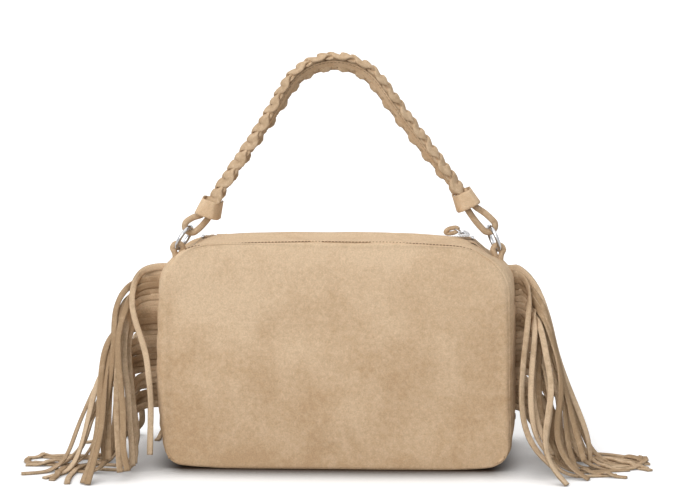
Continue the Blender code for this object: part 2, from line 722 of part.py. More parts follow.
def make_keeper(side, suede):
    """The suede band wrapped round the strap's end, flaring towards the loop."""
    sign = SIDES[side]
    start = PLAIT_HALF_LENGTH - KEEPER_LENGTH / 2
    outer = plait_half_thickness() + FIT_GAP + KEEPER_WALL
    inner = band_lift() - BAND_THICKNESS / 2 - FIT_GAP - KEEPER_WALL
    half = PLAIT_WIDTH / 2 + 2 * FIT_GAP + KEEPER_WALL
    bm = bmesh.new()
    edges = []
    for s, flare in ((start, 0.0), (start + KEEPER_LENGTH, KEEPER_FLARE / 2)):
        points = keeper_ring(sign * s, half, outer + flare, inner - flare)
        verts = [bm.verts.new(point) for point in points]
        edges += [bm.edges.new(pair) for pair in zip(verts, verts[1:] + verts[:1])]
    bmesh.ops.bridge_loops(bm, edges=edges)
    bm.normal_update()
    place, _, _ = handle_frame(sign * PLAIT_HALF_LENGTH)
    if sum(face.normal.dot(face.calc_center_median() - place) for face in bm.faces) < 0:
        bmesh.ops.reverse_faces(bm, faces=bm.faces)
    return solidify(add_mesh(f"keeper_{side}", bm, suede), KEEPER_WALL)


def keeper_mouth(side, distance):
    """The middle of the loop's legs, at a distance past the end of the plait."""
    place, _, outward = handle_frame(SIDES[side] * (PLAIT_HALF_LENGTH + distance))
    return place + outward * (band_lift() - BAND_THICKNESS / 2 + plait_half_thickness()) / 2


def loop_turn(side):
    """The wire's middle at the top of the ring, and the loop's direction and distance from it."""
    wire = ring_wire_at_tab(side) + ring_up(side) * 2 * RING_RADIUS
    along = (wire - keeper_mouth(side, KEEPER_LENGTH / 2)).normalized()
    return wire, along, LOOP_CORD + RING_WIRE + LOOP_ROOM


def loop_bend(side):
    wire, along, radius = loop_turn(side)
    return wire + along * radius


def make_handle_loop(side, suede):
    """A rolled cord from the keeper, round under the ring, and back into the keeper."""
    leg = LOOP_CORD + FIT_GAP
    _, _, outward = handle_frame(SIDES[side] * PLAIT_HALF_LENGTH)
    legs = [[keeper_mouth(side, distance) + outward * leg * way for distance in (LOOP_START, KEEPER_LENGTH / 2)]
            for way in (1, -1)]
    wire, along, radius = loop_turn(side)
    across = Vector((-along.z, 0, along.x))
    if across.dot(outward) < 0:
        across = -across
    turns = [math.pi * step / LOOP_BEND_STEPS for step in range(LOOP_BEND_STEPS + 1)]
    bend = [wire + across * radius * math.cos(turn) + along * radius * math.sin(turn) for turn in turns]
    for leg_points, foot in zip(legs, (bend[0], bend[-1])):
        mouth = leg_points[-1]
        leg_points += [mouth.lerp(foot, step / LOOP_LEG_STEPS) for step in range(1, LOOP_LEG_STEPS)]
    return cord(f"handle_loop_{side}", smooth_route(legs[0] + bend + legs[1][::-1], 2), LOOP_CORD, suede)


def make_handle(suede):
    pieces = [make_strand(number + 1, suede) for number in range(PLAIT_STRANDS)]
    pieces.append(make_band(suede))
    for side in SIDES:
        pieces += [make_keeper(side, suede), make_handle_loop(side, suede)]
    hang_on(pivot("handle_hinge", (loop_bend("left") + loop_bend("right")) / 2), *pieces)


def fringe_bottom_z():
    return FRINGE_TOP_Z - FRINGE_STRIPS * STRIP_PITCH


def strip_azimuth(number):
    """Each strip has its own direction in the fan, and its neighbours there are far from it in the comb."""
    place = (number * FAN_ORDER) % FRINGE_STRIPS
    return FAN_HALF_ANGLE * (2 * place / (FRINGE_STRIPS - 1) - 1)


def strip_profile(number, root_z):
    """The strip's route as distance from the seam against height: out, over, down and along the floor."""
    low = number / (FRINGE_STRIPS - 1)
    crest = CREST_OUTER + (CREST_INNER - CREST_OUTER) * low
    foot = crest + SPLAY_OUTER + (SPLAY_INNER - SPLAY_OUTER) * low
    drop = min(crest * CREST_DROP, root_z * HEIGHT_DROP)
    tip = FAN_RADIUS + FAN_RADIUS_VARIATION * math.sin(number * FAN_RADIUS_TURN)
    floor = STRIP_FLOOR_GAP + STRIP_THICKNESS / 2
    pile = floor + PILE_STEP * (FRINGE_STRIPS - 1 - number)
    bend = min(FLOOR_BEND, (root_z - drop) * FLOOR_BEND_SHARE)
    route = [(crest * CREST_SHOULDER, root_z)]
    for angle in (35, 62, 90):
        turn = math.radians(angle)
        reach = CREST_SHOULDER + (1 - CREST_SHOULDER) * math.sin(turn)
        route.append((crest * reach, root_z - drop * (1 - math.cos(turn))))
    route.append(((crest + foot) / 2, (root_z - drop + pile + bend) / 2))
    route.append((foot, pile + bend))
    route.append((foot + bend * FLOOR_CURVE[0], pile + bend * FLOOR_CURVE[1]))
    route.append((foot + bend, pile))
    route.append(((foot + tip) / 2 + bend / 2, (pile + floor) / 2))
    route.append((tip, floor))
    return route


def strip_rings(number, root_z, root_x):
    """Cross-sections down one strip: straight out on edge, then fanned out, and flat once it hangs."""
    azimuth = strip_azimuth(number)
    out = Vector((math.cos(azimuth), math.sin(azimuth), 0))
    tangent = Vector((-math.sin(azimuth), math.cos(azimuth), 0))
    places = [Vector((root_x + FAN_NECK, 0, root_z))]
    places += [Vector((root_x + FAN_START, 0, z)) + out * r for r, z in strip_profile(number, root_z)]
    rings = []
    for index, place in enumerate(places):
        ahead = places[min(index + 1, len(places) - 1)]
        behind = places[index - 1] if index else Vector((root_x, 0, root_z))
        along = (ahead - behind).normalized()
        turned = min(1.0, max(0, index - 1) / 3) * math.pi / 2
        upward = along.cross(tangent if index > 1 else Vector((0, 1, 0))).normalized()
        width = (tangent * math.sin(turned) - upward * math.cos(turned)) * STRIP_WIDTH / 2
        thick = along.cross(width).normalized() * STRIP_THICKNESS / 2
        rings.append([place - width - thick, place - width + thick, place + width + thick, place + width - thick])
    return rings


def header_section(outline, z):
    """The comb's header at a height, across the side seam."""
    x = side_x(outline, z)
    half = STRIP_THICKNESS / 2
    return [Vector((x + reach, y, z)) for reach, y in ((-HEADER_INSIDE, -half), (-HEADER_INSIDE, half),
                                                       (HEADER_OUTSIDE, half), (HEADER_OUTSIDE, -half))]


def make_fringe(side, outline, suede):
    """The comb-cut piece: a header in the side seam, and a strip from each of its teeth."""
    bm = bmesh.new()
    heights = []
    for number in reversed(range(FRINGE_STRIPS)):
        middle = FRINGE_TOP_Z - (number + 0.5) * STRIP_PITCH
        heights += [middle - STRIP_WIDTH / 2, middle + STRIP_WIDTH / 2]
    sweep(bm, [header_section(outline, z) for z in heights])
    bmesh.ops.recalc_face_normals(bm, faces=bm.faces)
    smallest = TOOTH_AREA_SHARE * STRIP_WIDTH * STRIP_THICKNESS
    teeth = [face for face in bm.faces if face.normal.x > TOOTH_FACING and face.calc_area() > smallest]
    teeth.sort(key=lambda face: -face.calc_center_median().z)
    for number, tooth in enumerate(teeth):
        middle = tooth.calc_center_median()
        rings = strip_rings(number, middle.z, middle.x)
        order = corner_order(tooth, rings[0])
        for points in rings:
            tooth = extend(bm, tooth, [points[corner] for corner in order])
    if SIDES[side] < 0:
        bmesh.ops.scale(bm, verts=bm.verts, vec=(-1, 1, 1))
    bmesh.ops.recalc_face_normals(bm, faces=bm.faces)
    return add_mesh(f"fringe_{side}", bm, suede, 30)


def corner_order(face, points):
    """Which corner of a cross-section each corner of a face runs on to, without a twist."""
    place = face.calc_center_median()
    middle = sum(points, Vector()) / len(points)
    corners = [vert.co - place for vert in face.verts]
    targets = [point - middle for point in points]
    orders = [[(start + step * turn) % 4 for step in range(4)] for start in range(4) for turn in (1, -1)]
    return min(orders, key=lambda order: sum((corner - targets[target]).length
                                             for corner, target in zip(corners, order)))


def main():
    clear_scene()
    suede = material("suede")
    metal = material("polished_metal")
    outline = rounded_outline(body_corners())
    top = make_shell(outline, suede)
    make_inside(material("lining"), material("board"))
    make_zip(top, material("zip_tape"), material("zip_coil"), metal, suede)
    for side in SIDES:
        make_tab(side, suede)
        make_fringe(side, outline, suede)
    make_rings(metal)
    make_handle(suede)


main()
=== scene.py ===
"""Fringed suede handbag: soft body with a zip along the top, comb-cut fringes and a plaited handle.

Metres, +Z up, the front faces -Y. Every piece is built at its own place on the CAD frame.
"""

import functools
import math

import bmesh
import bpy
import numpy as np
from bpy.props import FloatProperty, FloatVectorProperty, IntProperty, PointerProperty
from bpy.types import Operator, Panel, PropertyGroup
from mathutils import Matrix, Vector, noise


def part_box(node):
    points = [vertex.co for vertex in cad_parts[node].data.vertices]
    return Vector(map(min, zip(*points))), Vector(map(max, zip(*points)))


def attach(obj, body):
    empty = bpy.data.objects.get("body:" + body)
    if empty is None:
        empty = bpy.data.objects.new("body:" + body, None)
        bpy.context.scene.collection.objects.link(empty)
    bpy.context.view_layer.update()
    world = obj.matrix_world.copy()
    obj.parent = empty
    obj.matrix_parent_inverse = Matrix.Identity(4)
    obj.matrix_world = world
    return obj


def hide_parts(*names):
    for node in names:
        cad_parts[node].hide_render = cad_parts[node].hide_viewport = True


bl_info = {
    "name": "Fringed suede handbag",
    "version": (1, 0, 0),
    "blender": (4, 5, 0),
    "location": "3D View > Sidebar > Handbag",
    "description": "Builds the soft and metal pieces of a fringed suede handbag on its CAD frame",
    "category": "Add Mesh",
}

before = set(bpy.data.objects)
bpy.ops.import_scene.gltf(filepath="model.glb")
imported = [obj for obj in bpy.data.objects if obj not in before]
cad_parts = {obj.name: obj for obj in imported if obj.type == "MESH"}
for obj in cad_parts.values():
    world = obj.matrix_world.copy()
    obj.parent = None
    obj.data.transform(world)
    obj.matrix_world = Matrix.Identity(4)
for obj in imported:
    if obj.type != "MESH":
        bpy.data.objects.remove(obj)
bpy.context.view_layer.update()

MM = 0.001
SIDES = {"left": -1, "right": 1}
METAL = "Polished silver metal"
MERGE = 1e-7  # Corners nearer than this in metres are one
FLOOR_HALF_SIZE = 30.0  # Metres

# Body outlines in millimetres, through its middle and at its front edge: up each side, as (out, up), and
# along the top, as (x, z)
SHOULDER = ((142.6, 143), (140.4, 153.5), (136, 160.8), (129.6, 166.4), (121.5, 171.6), (114, 176.2),
            (105.5, 180))
OUTLINES = {
    "middle": {
        "left": ((134.5, 8.2), (138.4, 13), (140.6, 20), (142.4, 34), (143.8, 60), (144, 105),
                 *SHOULDER),
        "right": ((134.5, 8.2), (138.8, 12.6), (141.6, 19.5), (143.2, 34), (144, 60), (143.6, 105),
                  *SHOULDER),
        "top": ((-105.5, 180), (-96, 181.6), (-80, 182.6), (-50, 183.3), (0, 183.6), (50, 183.5),
                (80, 182.4), (96, 181.4), (105.5, 180)),
    },
    "front": {
        "left": ((134.5, 8.2), (138, 13), (139.6, 20), (141, 34), (142.6, 60), (143.4, 105),
                 (142.8, 143), (141, 154), (136.6, 162.2), (129.8, 169.6), (122.5, 174.9),
                 (114.5, 177.6), (105.5, 178.9)),
        "right": ((134.5, 8.2), (138.8, 12.4), (141.2, 19.5), (142.2, 34), (141.8, 57), (140.4, 112),
                  (139.4, 143), (138, 151), (134.6, 158.5), (128.6, 165.4), (120.4, 170.6),
                  (112.5, 175.2), (105.5, 177.6)),
        "top": ((-105.5, 178.9), (-96, 179.8), (-80, 180.8), (-50, 182), (0, 182.6), (50, 181.6),
                (80, 180.1), (96, 179.2), (105.5, 177.6)),
    },
}
BASE_LINE = ((-134.5, 8.2), (-130.2, 4.2), (-122, 2), (-104, 0.8), (-80, 0), (0, 0), (80, 0),
             (104, 0.6), (122, 1.8), (130.2, 4.2), (134.5, 8.2))

# Body's sizes in millimetres
BASE_HALF_DEPTH = 56.0
TOP_HALF_DEPTH = 32.5
TOP_Z = 182.0
DEPTH_SWELL = 1.5
SLIT_HALF_WIDTH = 3.6
SLIT_HALF_LENGTH = 110.0
TIGHT_ROLL = 3.4  # Radius of the skin's edges at the top and the base
BACK_SAG = 2.6  # How far the back edge of the top hangs lower
BACK_DIP = 1.2  # How far the back edge of the slit dips along the zip
ZIP_LIP = 2.3  # How far the front edge stands up along the zip
SKIN_THICKNESS = 1.8
SEAM_GROOVE = 0.95  # Depths and heights of the seams in the skin
SEAM_RIDGE = 0.8
CORNER_SEAM = 0.8
SIDE_SEAM = 1.1
SEAM_END_Z = 173.5  # The top seams run this far down the shoulders
SIDE_BELLY = 2.2
SIDE_HOLLOW = {"left": 2.0, "right": 1.2}
RING_DENT = 1.7
SEAM_THREAD_RADIUS = 0.42
STITCH_LIFT = 1.5
STITCH_REACH = 0.56  # Half of a stitch, with the bit that dips into the suede, as a share of its length
SLIDER_TOP = 184.4
PULL_RING_RADIUS = 4.2
PULL_CORD_RADIUS = 1.8

# Handle's middle line, and the rings and tabs that it hangs from
HANDLE_TOP = (-2.3, 326.2)
HANDLE_BEND = 47.0
HANDLE_LEG = math.radians(56.2)
HANDLE_LEAN = math.radians(2.2)
HANDLE_HALF = 163.2
# The strap's roll in degrees, by millimetres from its top
ROLL_STATIONS = ((-154, 0), (-98, 5), (-60, 18), (-8, 39), (30, 37), (64, 31), (112, 26), (156, 6))
BAND_LIFT = -4.4
BAND_SHIFT = 3.0
BAND_THICKNESS = 1.5
BAND_STITCHES = (2.2, 0.9, 0.28)  # Length, gap and radius
PLAIT_HALF = HANDLE_HALF - 3.0
PLAIT_PITCH = 35.0  # Length of one whole sway of a strand
PLAIT_SHIFT = 1.5  # How far the plait lies to the front of the handle's middle line
MOST_SWAY = 6.4  # How far a strand sways, rises over the others and sinks at the edges
STRAND_RISE = 2.5
STRAND_SINK = 2.3
STRAND_TILT = math.radians(62)
KEEPER_DROOP = {"left": math.radians(13), "right": math.radians(10)}
HANDLE_SPLAY = {-1: 3.4, 1: 1.8}
KEEPER_LENGTH = 14.0
KEEPER_THICKNESS = 1.2
TAB_X = 131.0
TAB_CROWN_Z = 175.2
TAB_RADIUS = 4.2
TAB_CORD_RADIUS = 2.4
RING_RADIUS = 10.4
RING_WIRE = 1.6
RING_TILT = {"left": math.radians(31), "right": math.radians(21)}
RING_TWIST = math.radians(14)

# Fringe: the routes of the strips at the front, in millimetres outwards, back and up, by tooth of the comb
COMB_TOP = 158.0
COMB_TEETH = 24
COMB_PITCH = 5.0
STRIP_LENGTH = 186.0
STRIP_POINTS = 46
STRIP_STEP = 1.9
TIP_REACH = (252.0, 112.0)  # The tips lie within this, outwards and to the front
BODY_SIDE_X = 145.0
BODY_CLEAR_X = 147.2  # How far out a strip's middle has to be, beside the body
BODY_CLEAR_Y = 3.5  # How far off the panels it has to be, in front of the body or behind it
FLOOR_CLEAR = 0.9
FLOOR_Z = 2.0
ROOT_RUN = {"left": 21.0, "right": 10.0}
ROUTES = {
    "left": {
        0: ((151, 0, 152), (158, -6, 151), (164, -12, 144), (163, -19, 130), (156, -28, 111),
            (147, -38, 90), (142, -47, 74), (141, -56, 57), (141, -62, 37), (141, -67, 19)),
        2: ((156, 0, 143), (166, -10, 143), (173, -16, 138), (177, -23, 129), (177, -32, 114),
            (176, -41, 98), (178, -55, 72), (181, -66, 50), (181, -76, 28), (178, -84, 12),
            (173, -89, 2)),
        3: ((153, 0, 140), (161, -12, 137), (168, -21, 130), (171, -34, 114), (170, -50, 92),
            (166, -63, 71), (162, -79, 45), (162, -90, 27), (157, -99, 13), (149, -107, 2)),
        4: ((154, 0, 135), (168, -15, 134), (172, -21, 128), (172, -27, 119), (171, -37, 106),
            (172, -49, 87), (171, -66, 59), (168, -82, 30), (164, -98, 2)),
        5: ((152, 0, 129), (159, -9, 127), (166, -16, 121), (168, -25, 108), (167, -40, 84),
            (162, -53, 63), (160, -64, 42), (157, -72, 27), (156, -80, 11)),
        7: ((151, 0, 119), (157, -8, 113), (166, -17, 103), (165, -23, 92), (162, -34, 71),
            (158, -46, 46), (156, -55, 26), (156, -62, 9)),
        8: ((155, 0, 115), (169, -17, 114), (180, -30, 107), (185, -41, 95), (186, -55, 76),
            (185, -76, 44), (187, -86, 31), (190, -96, 15), (194, -105, 2)),
        9: ((155, 0, 110), (169, -18, 111), (179, -32, 102), (181, -47, 84), (182, -62, 65),
            (181, -77, 45), (183, -88, 29), (186, -99, 14), (189, -108, 2)),
        10: ((155, 0, 104), (168, -15, 107), (175, -24, 101), (178, -38, 84), (179, -53, 63),
             (178, -67, 42), (177, -76, 28), (176, -84, 15)),
        12: ((157, 0, 94), (171, -13, 93), (183, -23, 82), (191, -32, 67), (195, -42, 49),
             (198, -50, 32), (203, -58, 13), (207, -68, 3), (216, -80, 2), (230, -90, 2),
             (248, -94, 2)),
        14: ((157, 0, 84), (174, -13, 85), (187, -22, 75), (194, -30, 62), (199, -36, 51),
             (207, -43, 32), (212, -52, 15), (217, -62, 4), (226, -70, 2), (236, -75, 2),
             (247, -76, 2)),
        17: ((157, 0, 69), (175, -7, 67), (189, -12, 53), (197, -16, 37), (203, -21, 21), (208, -27, 8),
             (216, -38, 3), (226, -46, 2), (236, -50, 2), (248, -50, 2)),
    },
    "right": {
        0: ((146, 0, 151), (151, -3, 151), (158, -6, 145), (164, -10, 134), (170, -15, 118),
            (176, -21, 97), (184, -28, 69), (194, -35, 44), (200, -38, 30), (203, -41, 18),
            (204, -44, 2)),
        1: ((145, 0, 147), (150, -5, 146), (154, -9, 141), (152, -20, 123), (150, -31, 106),
            (147, -43, 91), (145, -56, 65), (146, -63, 46), (151, -68, 29), (159, -73, 19),
            (168, -78, 12)),
        2: ((146, 0, 143), (155, -7, 139), (164, -14, 129), (169, -19, 118), (174, -27, 101),
            (180, -38, 71), (185, -44, 55), (189, -51, 37), (193, -56, 23), (197, -60, 10)),
        3: ((146, 0, 138), (156, -11, 130), (165, -19, 120), (169, -28, 106), (174, -36, 91),
            (178, -48, 68), (174, -57, 48), (172, -64, 33), (175, -69, 21), (183, -75, 10),
            (193, -79, 2), (212, -88, 2)),
        5: ((147, 0, 128), (157, -14, 121), (165, -25, 110), (170, -46, 81), (173, -52, 71),
            (169, -65, 50), (165, -78, 28), (168, -85, 17), (176, -93, 6), (182, -97, 2)),
        6: ((146, 0, 130), (154, -8, 127), (159, -13, 121), (157, -24, 112), (154, -38, 90),
            (152, -50, 68), (152, -57, 53), (154, -63, 37), (160, -68, 23), (168, -72, 17)),
        7: ((146, 0, 121), (152, -8, 116), (158, -16, 106), (158, -24, 91), (156, -35, 74),
            (156, -45, 60), (159, -53, 43), (164, -59, 28), (170, -64, 17)),
        8: ((146, 0, 116), (155, -8, 111), (162, -14, 103), (163, -18, 96), (162, -26, 78),
            (162, -36, 55), (166, -45, 34), (171, -50, 21), (177, -55, 10)),
        9: ((147, 0, 111), (159, -10, 108), (170, -20, 96), (178, -32, 77), (183, -40, 60),
            (182, -47, 46), (184, -56, 26), (187, -63, 11), (192, -67, 2)),
        10: ((148, 0, 106), (166, -4, 101), (177, -7, 85), (187, -11, 56), (197, -14, 31),
             (204, -17, 13), (211, -23, 4), (223, -25, 2), (236, -20, 2), (248, -14, 2)),
        13: ((148, 0, 91), (166, -8, 90), (178, -15, 76), (187, -22, 55), (194, -29, 32),
             (200, -34, 13), (207, -43, 3), (220, -48, 2), (234, -45, 2), (247, -39, 2)),
        16: ((148, 0, 76), (165, -4, 74), (178, -7, 61), (187, -11, 41), (195, -14, 20), (202, -20, 5),
             (212, -32, 3), (226, -36, 2), (236, -33, 2), (248, -27, 2)),
    },
}

# Strips that follow another one's way: tooth, that strip, and how far out and back they go beside it;
# a minus keeps them in front
FOLLOWERS = {
    "left": ((1, 0, 1.1, 0.7), (6, 7, 1.12, -0.8), (11, 9, 0.7, 0.5), (13, 12, 0.86, -0.9),
             (15, 9, 0.8, -0.72), (16, 14, 0.9, -0.8), (18, 7, 0.9, -1), (20, 8, 0.5, 0.6)),
    "right": ((4, 2, 0.9, -0.85), (11, 5, 0.95, -0.8), (12, 9, 0.9, -0.8), (14, 10, 0.9, -1.3),
              (15, 3, 0.9, -0.8), (17, 13, 0.92, -0.8), (18, 7, 0.8, 0.9), (20, 16, 0.85, -1.3)),
}

# Low strips that lie on the floor: tooth, where they reach it, and where their tips lie
ON_FLOOR = {
    "left": ((19, 183, -24, 244, -30), (21, 182, -36, 214, -96), (22, 178, -14, 238, -20),
             (23, 180, -34, 204, -104)),
    "right": ((19, 180, -18, 246, -52), (21, 180, -14, 250, -30), (22, 180, -24, 228, -72),
              (23, 178, -8, 238, -12)),
}


# Routes and frames

def mm(size):
    """A setting's length in millimetres, without the rounding of single precision."""
    return round(size / MM, 4)


def run_along(line):
    """How far along a line each of its points lies."""
    return np.concatenate([[0], np.cumsum(np.linalg.norm(np.diff(line, axis=0), axis=1))])


def read_line(line, travelled, wanted):
    """The line's points at the wanted distances along it."""
    return np.stack([np.interp(wanted, travelled, column) for column in line.T], axis=-1)


def smooth_line(points, spacing):
    """Points at equal spacing along a smooth curve through the given points."""
    points = np.array(points, float)
    ends = np.vstack([2 * points[0] - points[1], points, 2 * points[-1] - points[-2]])
    fine = []
    for a, b, c, d in zip(ends, ends[1:], ends[2:], ends[3:]):
        for t in np.linspace(0, 1, 12, endpoint=False):
            fine.append(0.5 * (2 * b + (c - a) * t + (2 * a - 5 * b + 4 * c - d) * t * t
                               + (3 * b - a - 3 * c + d) * t ** 3))
    fine = np.array(fine + [points[-1]])
    travelled = run_along(fine)
    count = max(2, round(travelled[-1] / spacing))
    return read_line(fine, travelled, np.linspace(0, travelled[-1], count + 1))


def line_reader(points):
    """Returns a function from 0 to 1 that reads a smooth line evenly along its length."""
    line = smooth_line(points, 0.5)
    shares = np.linspace(0, 1, len(line))
    return functools.cache(lambda t: read_line(line, shares, t))


def smoothstep(low, high, value):
    t = min(1.0, max(0.0, (value - low) / (high - low)))
    return t * t * (3 - 2 * t)


def hump(value, middle, spread):
    """A smooth hump, 1 high at its middle."""
    return math.exp(-((value - middle) / spread) ** 2)


def superellipse(angle, power_across, power_up):
    """Cosine and sine of an angle, squared off by powers below 1."""
    c, s = math.cos(angle), math.sin(angle)
    return math.copysign(abs(c) ** power_across, c), math.copysign(abs(s) ** power_up, s)


def handle_frame(s):
    """Place, direction and outward normal on the handle's middle line, s in millimetres from its top."""
    angle = max(-HANDLE_LEG, min(HANDLE_LEG, s / HANDLE_BEND)) - HANDLE_LEAN
    along = Vector((math.cos(angle), 0, -math.sin(angle)))
    outward = Vector((math.sin(angle), 0, math.cos(angle)))
    place = Vector((HANDLE_TOP[0], 0, HANDLE_TOP[1] - HANDLE_BEND)) + outward * HANDLE_BEND
    bend = HANDLE_BEND * HANDLE_LEG
    if abs(s) > bend:
        place += along * (s - math.copysign(bend, s))
    side = math.copysign(1, s)
    place.x += side * HANDLE_SPLAY[side] * smoothstep(70, 156, abs(s))
    return place, along, outward


def strap_axes(s):
    """The strap's place, width direction and outward direction at s, with its roll."""
    place, _, outward = handle_frame(s)
    roll = math.radians(np.interp(s, *zip(*ROLL_STATIONS)))
    depth = Vector((0, 1, 0))
    across = depth * math.cos(roll) - outward * math.sin(roll)
    lift = outward * math.cos(roll) + depth * math.sin(roll)
    return place, across, lift


# Mesh making

def new_mesh_piece(name, bm, finishes, body, smooth_angle=45):
    """Ends a bmesh as a piece with the named materials that rides on a body."""
    mesh = bpy.data.meshes.new(name)
    bm.to_mesh(mesh)
    bm.free()
    mesh.shade_smooth()
    mesh.set_sharp_from_angle(angle=math.radians(smooth_angle))
    for finish in finishes:
        mesh.materials.append(bpy.data.materials[finish])
    piece = bpy.data.objects.new(name, mesh)
    bpy.context.scene.collection.objects.link(piece)
    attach(piece, body)
    return piece


def add_wall(piece, thickness, offset=0, rim=1):
    """Gives a skin its thickness, in millimetres; rim is the number of its edges' material."""
    wall = piece.modifiers.new("wall", "SOLIDIFY")
    wall.thickness = thickness * MM
    wall.offset = offset
    wall.material_offset_rim = rim


def laid_grid(bm, across, along, place):
    """A grid whose corners go where place(u, v) says, for u and v from 0 to 1, in millimetres."""
    made = bmesh.ops.create_grid(bm, x_segments=across, y_segments=along, size=0.5)["verts"]
    for vert in made:
        vert.co = Vector(place(vert.co.x + 0.5, vert.co.y + 0.5)) * MM
    return made


def laid_tube(bm, around, along, place):
    """A grid rolled up into a tube, with its open ends filled."""
    made = laid_grid(bm, around, along, place)
    bmesh.ops.remove_doubles(bm, verts=made, dist=MERGE)
    bmesh.ops.holes_fill(bm, edges=[edge for edge in bm.edges if edge.is_boundary])
    bmesh.ops.recalc_face_normals(bm, faces=bm.faces)


def add_block(bm, centre, size):
    """A block about its centre, both in metres."""
    matrix = Matrix.Translation(centre) @ Matrix.Diagonal((*size, 1))
    return bmesh.ops.create_cube(bm, size=1, matrix=matrix)["verts"]


def soften(bm, edges, width):
    """Rounds edges off by a width in millimetres."""
    bmesh.ops.bevel(bm, geom=edges, offset=width * MM, offset_type="OFFSET", segments=3, profile=0.5,
                    affect="EDGES", material=-1)


def turned_frames(points, start_side):
    """A side and an up direction for each point of a line, carried along it without a twist."""
    points = [Vector(p) for p in points]
    side = Vector(start_side)
    frames = []
    for index, point in enumerate(points):
        ahead = points[min(index + 1, len(points) - 1)]
        behind = points[max(index - 1, 0)]
        along = (ahead - behind).normalized()
        side = (side - along * side.dot(along)).normalized()
        frames.append((point, side, along.cross(side)))
    return frames


def tube(bm, points, radius, sides=12, start_side=(0, 1, 0)):
    """A round cord along a line of points in millimetres."""
    frames = turned_frames(points, start_side)
    last = len(frames) - 1

    def place(u, v):
        point, side, up = frames[round(v * last)]
        angle = 2 * math.pi * u
        return point + side * radius * math.cos(angle) + up * radius * math.sin(angle)

    laid_tube(bm, sides, last, place)


def ring_tube(bm, centre, across, along, radius, wire, segments=56, sides=14):
    """A closed wire ring in the plane of two directions, in millimetres."""
    centre, across, along = Vector(centre), Vector(across), Vector(along)
    normal = across.cross(along)
    start = []
    for angle in np.linspace(0, 2 * math.pi, sides, endpoint=False):
        spot = centre + across * (radius + wire * math.cos(angle)) + normal * wire * math.sin(angle)
        start.append(bm.verts.new(spot * MM))
    edges = [bm.edges.new(pair) for pair in zip(start, start[1:] + start[:1])]
    bmesh.ops.spin(bm, geom=start + edges, cent=centre * MM, axis=normal, angle=2 * math.pi,
                   steps=segments, use_merge=True)
    bmesh.ops.remove_doubles(bm, verts=bm.verts, dist=MERGE)
    bmesh.ops.recalc_face_normals(bm, faces=bm.faces)


def add_stitches(bm, line, normals, length, gap, radius):
    """Thread stitches laid on a line of points, each a low oval that dips in at both ends."""
    line, normals = np.array(line, float), np.array(normals, float)
    travelled = run_along(line)
    for number in range(int(travelled[-1] // (length + gap))):
        middle = (number + 0.5) * (length + gap)
        start, centre, end = (read_line(line, travelled, at)
                              for at in (middle - length / 2, middle, middle + length / 2))
        normal = Vector(read_line(normals, travelled, middle)).normalized()
        along = Vector(end - start).normalized()
        side = along.cross(normal).normalized()
        turn = Matrix((along, side, normal)).transposed().to_4x4()
        size = Matrix.Diagonal((length * STITCH_REACH * MM, radius * MM, radius * MM, 1.0))
        place = Matrix.Translation(Vector(centre) * MM) @ turn @ size
        bmesh.ops.create_uvsphere(bm, u_segments=6, v_segments=5, radius=1.0,
                                  matrix=place @ Matrix.Rotation(math.pi / 2, 4, "Y"))


# Body

def spread(count, share, ends_only=True):
    """Positions from -1 to 1 for a row of edges, drawn closer at the ends, or there and at the middle."""
    positions = []
    for step in range(count + 1):
        t = 2 * step / count - 1
        half = abs(t)
        eased = math.sin(half * math.pi / 2) if ends_only else (1 - math.cos(half * math.pi)) / 2
        positions.append(math.copysign((1 - share) * half + share * eased, t))
    return positions


def straight_half_depth(z):
    return BASE_HALF_DEPTH + (TOP_HALF_DEPTH - BASE_HALF_DEPTH) * z / TOP_Z


def half_depth(z):
    return straight_half_depth(z) + DEPTH_SWELL * math.sin(math.pi * min(1, max(0, z / TOP_Z)))


class Outline:
    """One outline of the body: points inside it, and the way out of it."""

    def __init__(self, lines):
        self.sides = {-1: line_reader(lines["left"]), 1: line_reader(lines["right"])}
        self.top = line_reader(lines["top"])
        self.base = line_reader(BASE_LINE)
        self.normal_out = functools.cache(self.edge_normal)

    def side(self, way, v):
        return self.sides[way](v) * np.array([way, 1])

    def inside(self, u, v):
        """The point inside the outline, blended from its four edge lines."""
        corners = ((1 - u) * (1 - v) * self.base(0.0) + u * (1 - v) * self.base(1.0)
                   + (1 - u) * v * self.top(0.0) + u * v * self.top(1.0))
        return ((1 - v) * self.base(u) + v * self.top(u)
                + (1 - u) * self.side(-1, v) + u * self.side(1, v) - corners)

    def edge_normal(self, edge, way, t):
        if edge == "side":
            read = functools.partial(self.side, way)
        else:
            read = self.top if way > 0 else self.base
        run = read(min(1.0, t + 0.004)) - read(max(0.0, t - 0.004))
        normal = np.array([run[1], -run[0]]) / np.linalg.norm(run)
        return normal if normal[0 if edge == "side" else 1] * way > 0 else -normal

    def way_out(self, u, v, flat):
        """How far in from the outline a point is, and the outline's outward normal there."""
        across, upward = (1 if u > 0.5 else -1), (1 if v > 0.5 else -1)
        row = self.top(u) if upward > 0 else self.base(u)
        side_weight = 1 / max(np.linalg.norm(flat - self.side(across, v)), 1e-4) ** 2
        row_weight = 1 / max(np.linalg.norm(flat - row), 1e-4) ** 2
        normal = (self.normal_out("side", across, v) * side_weight
                  + self.normal_out("row", upward, u) * row_weight)
        return 1 / math.sqrt(side_weight + row_weight), normal / np.linalg.norm(normal)


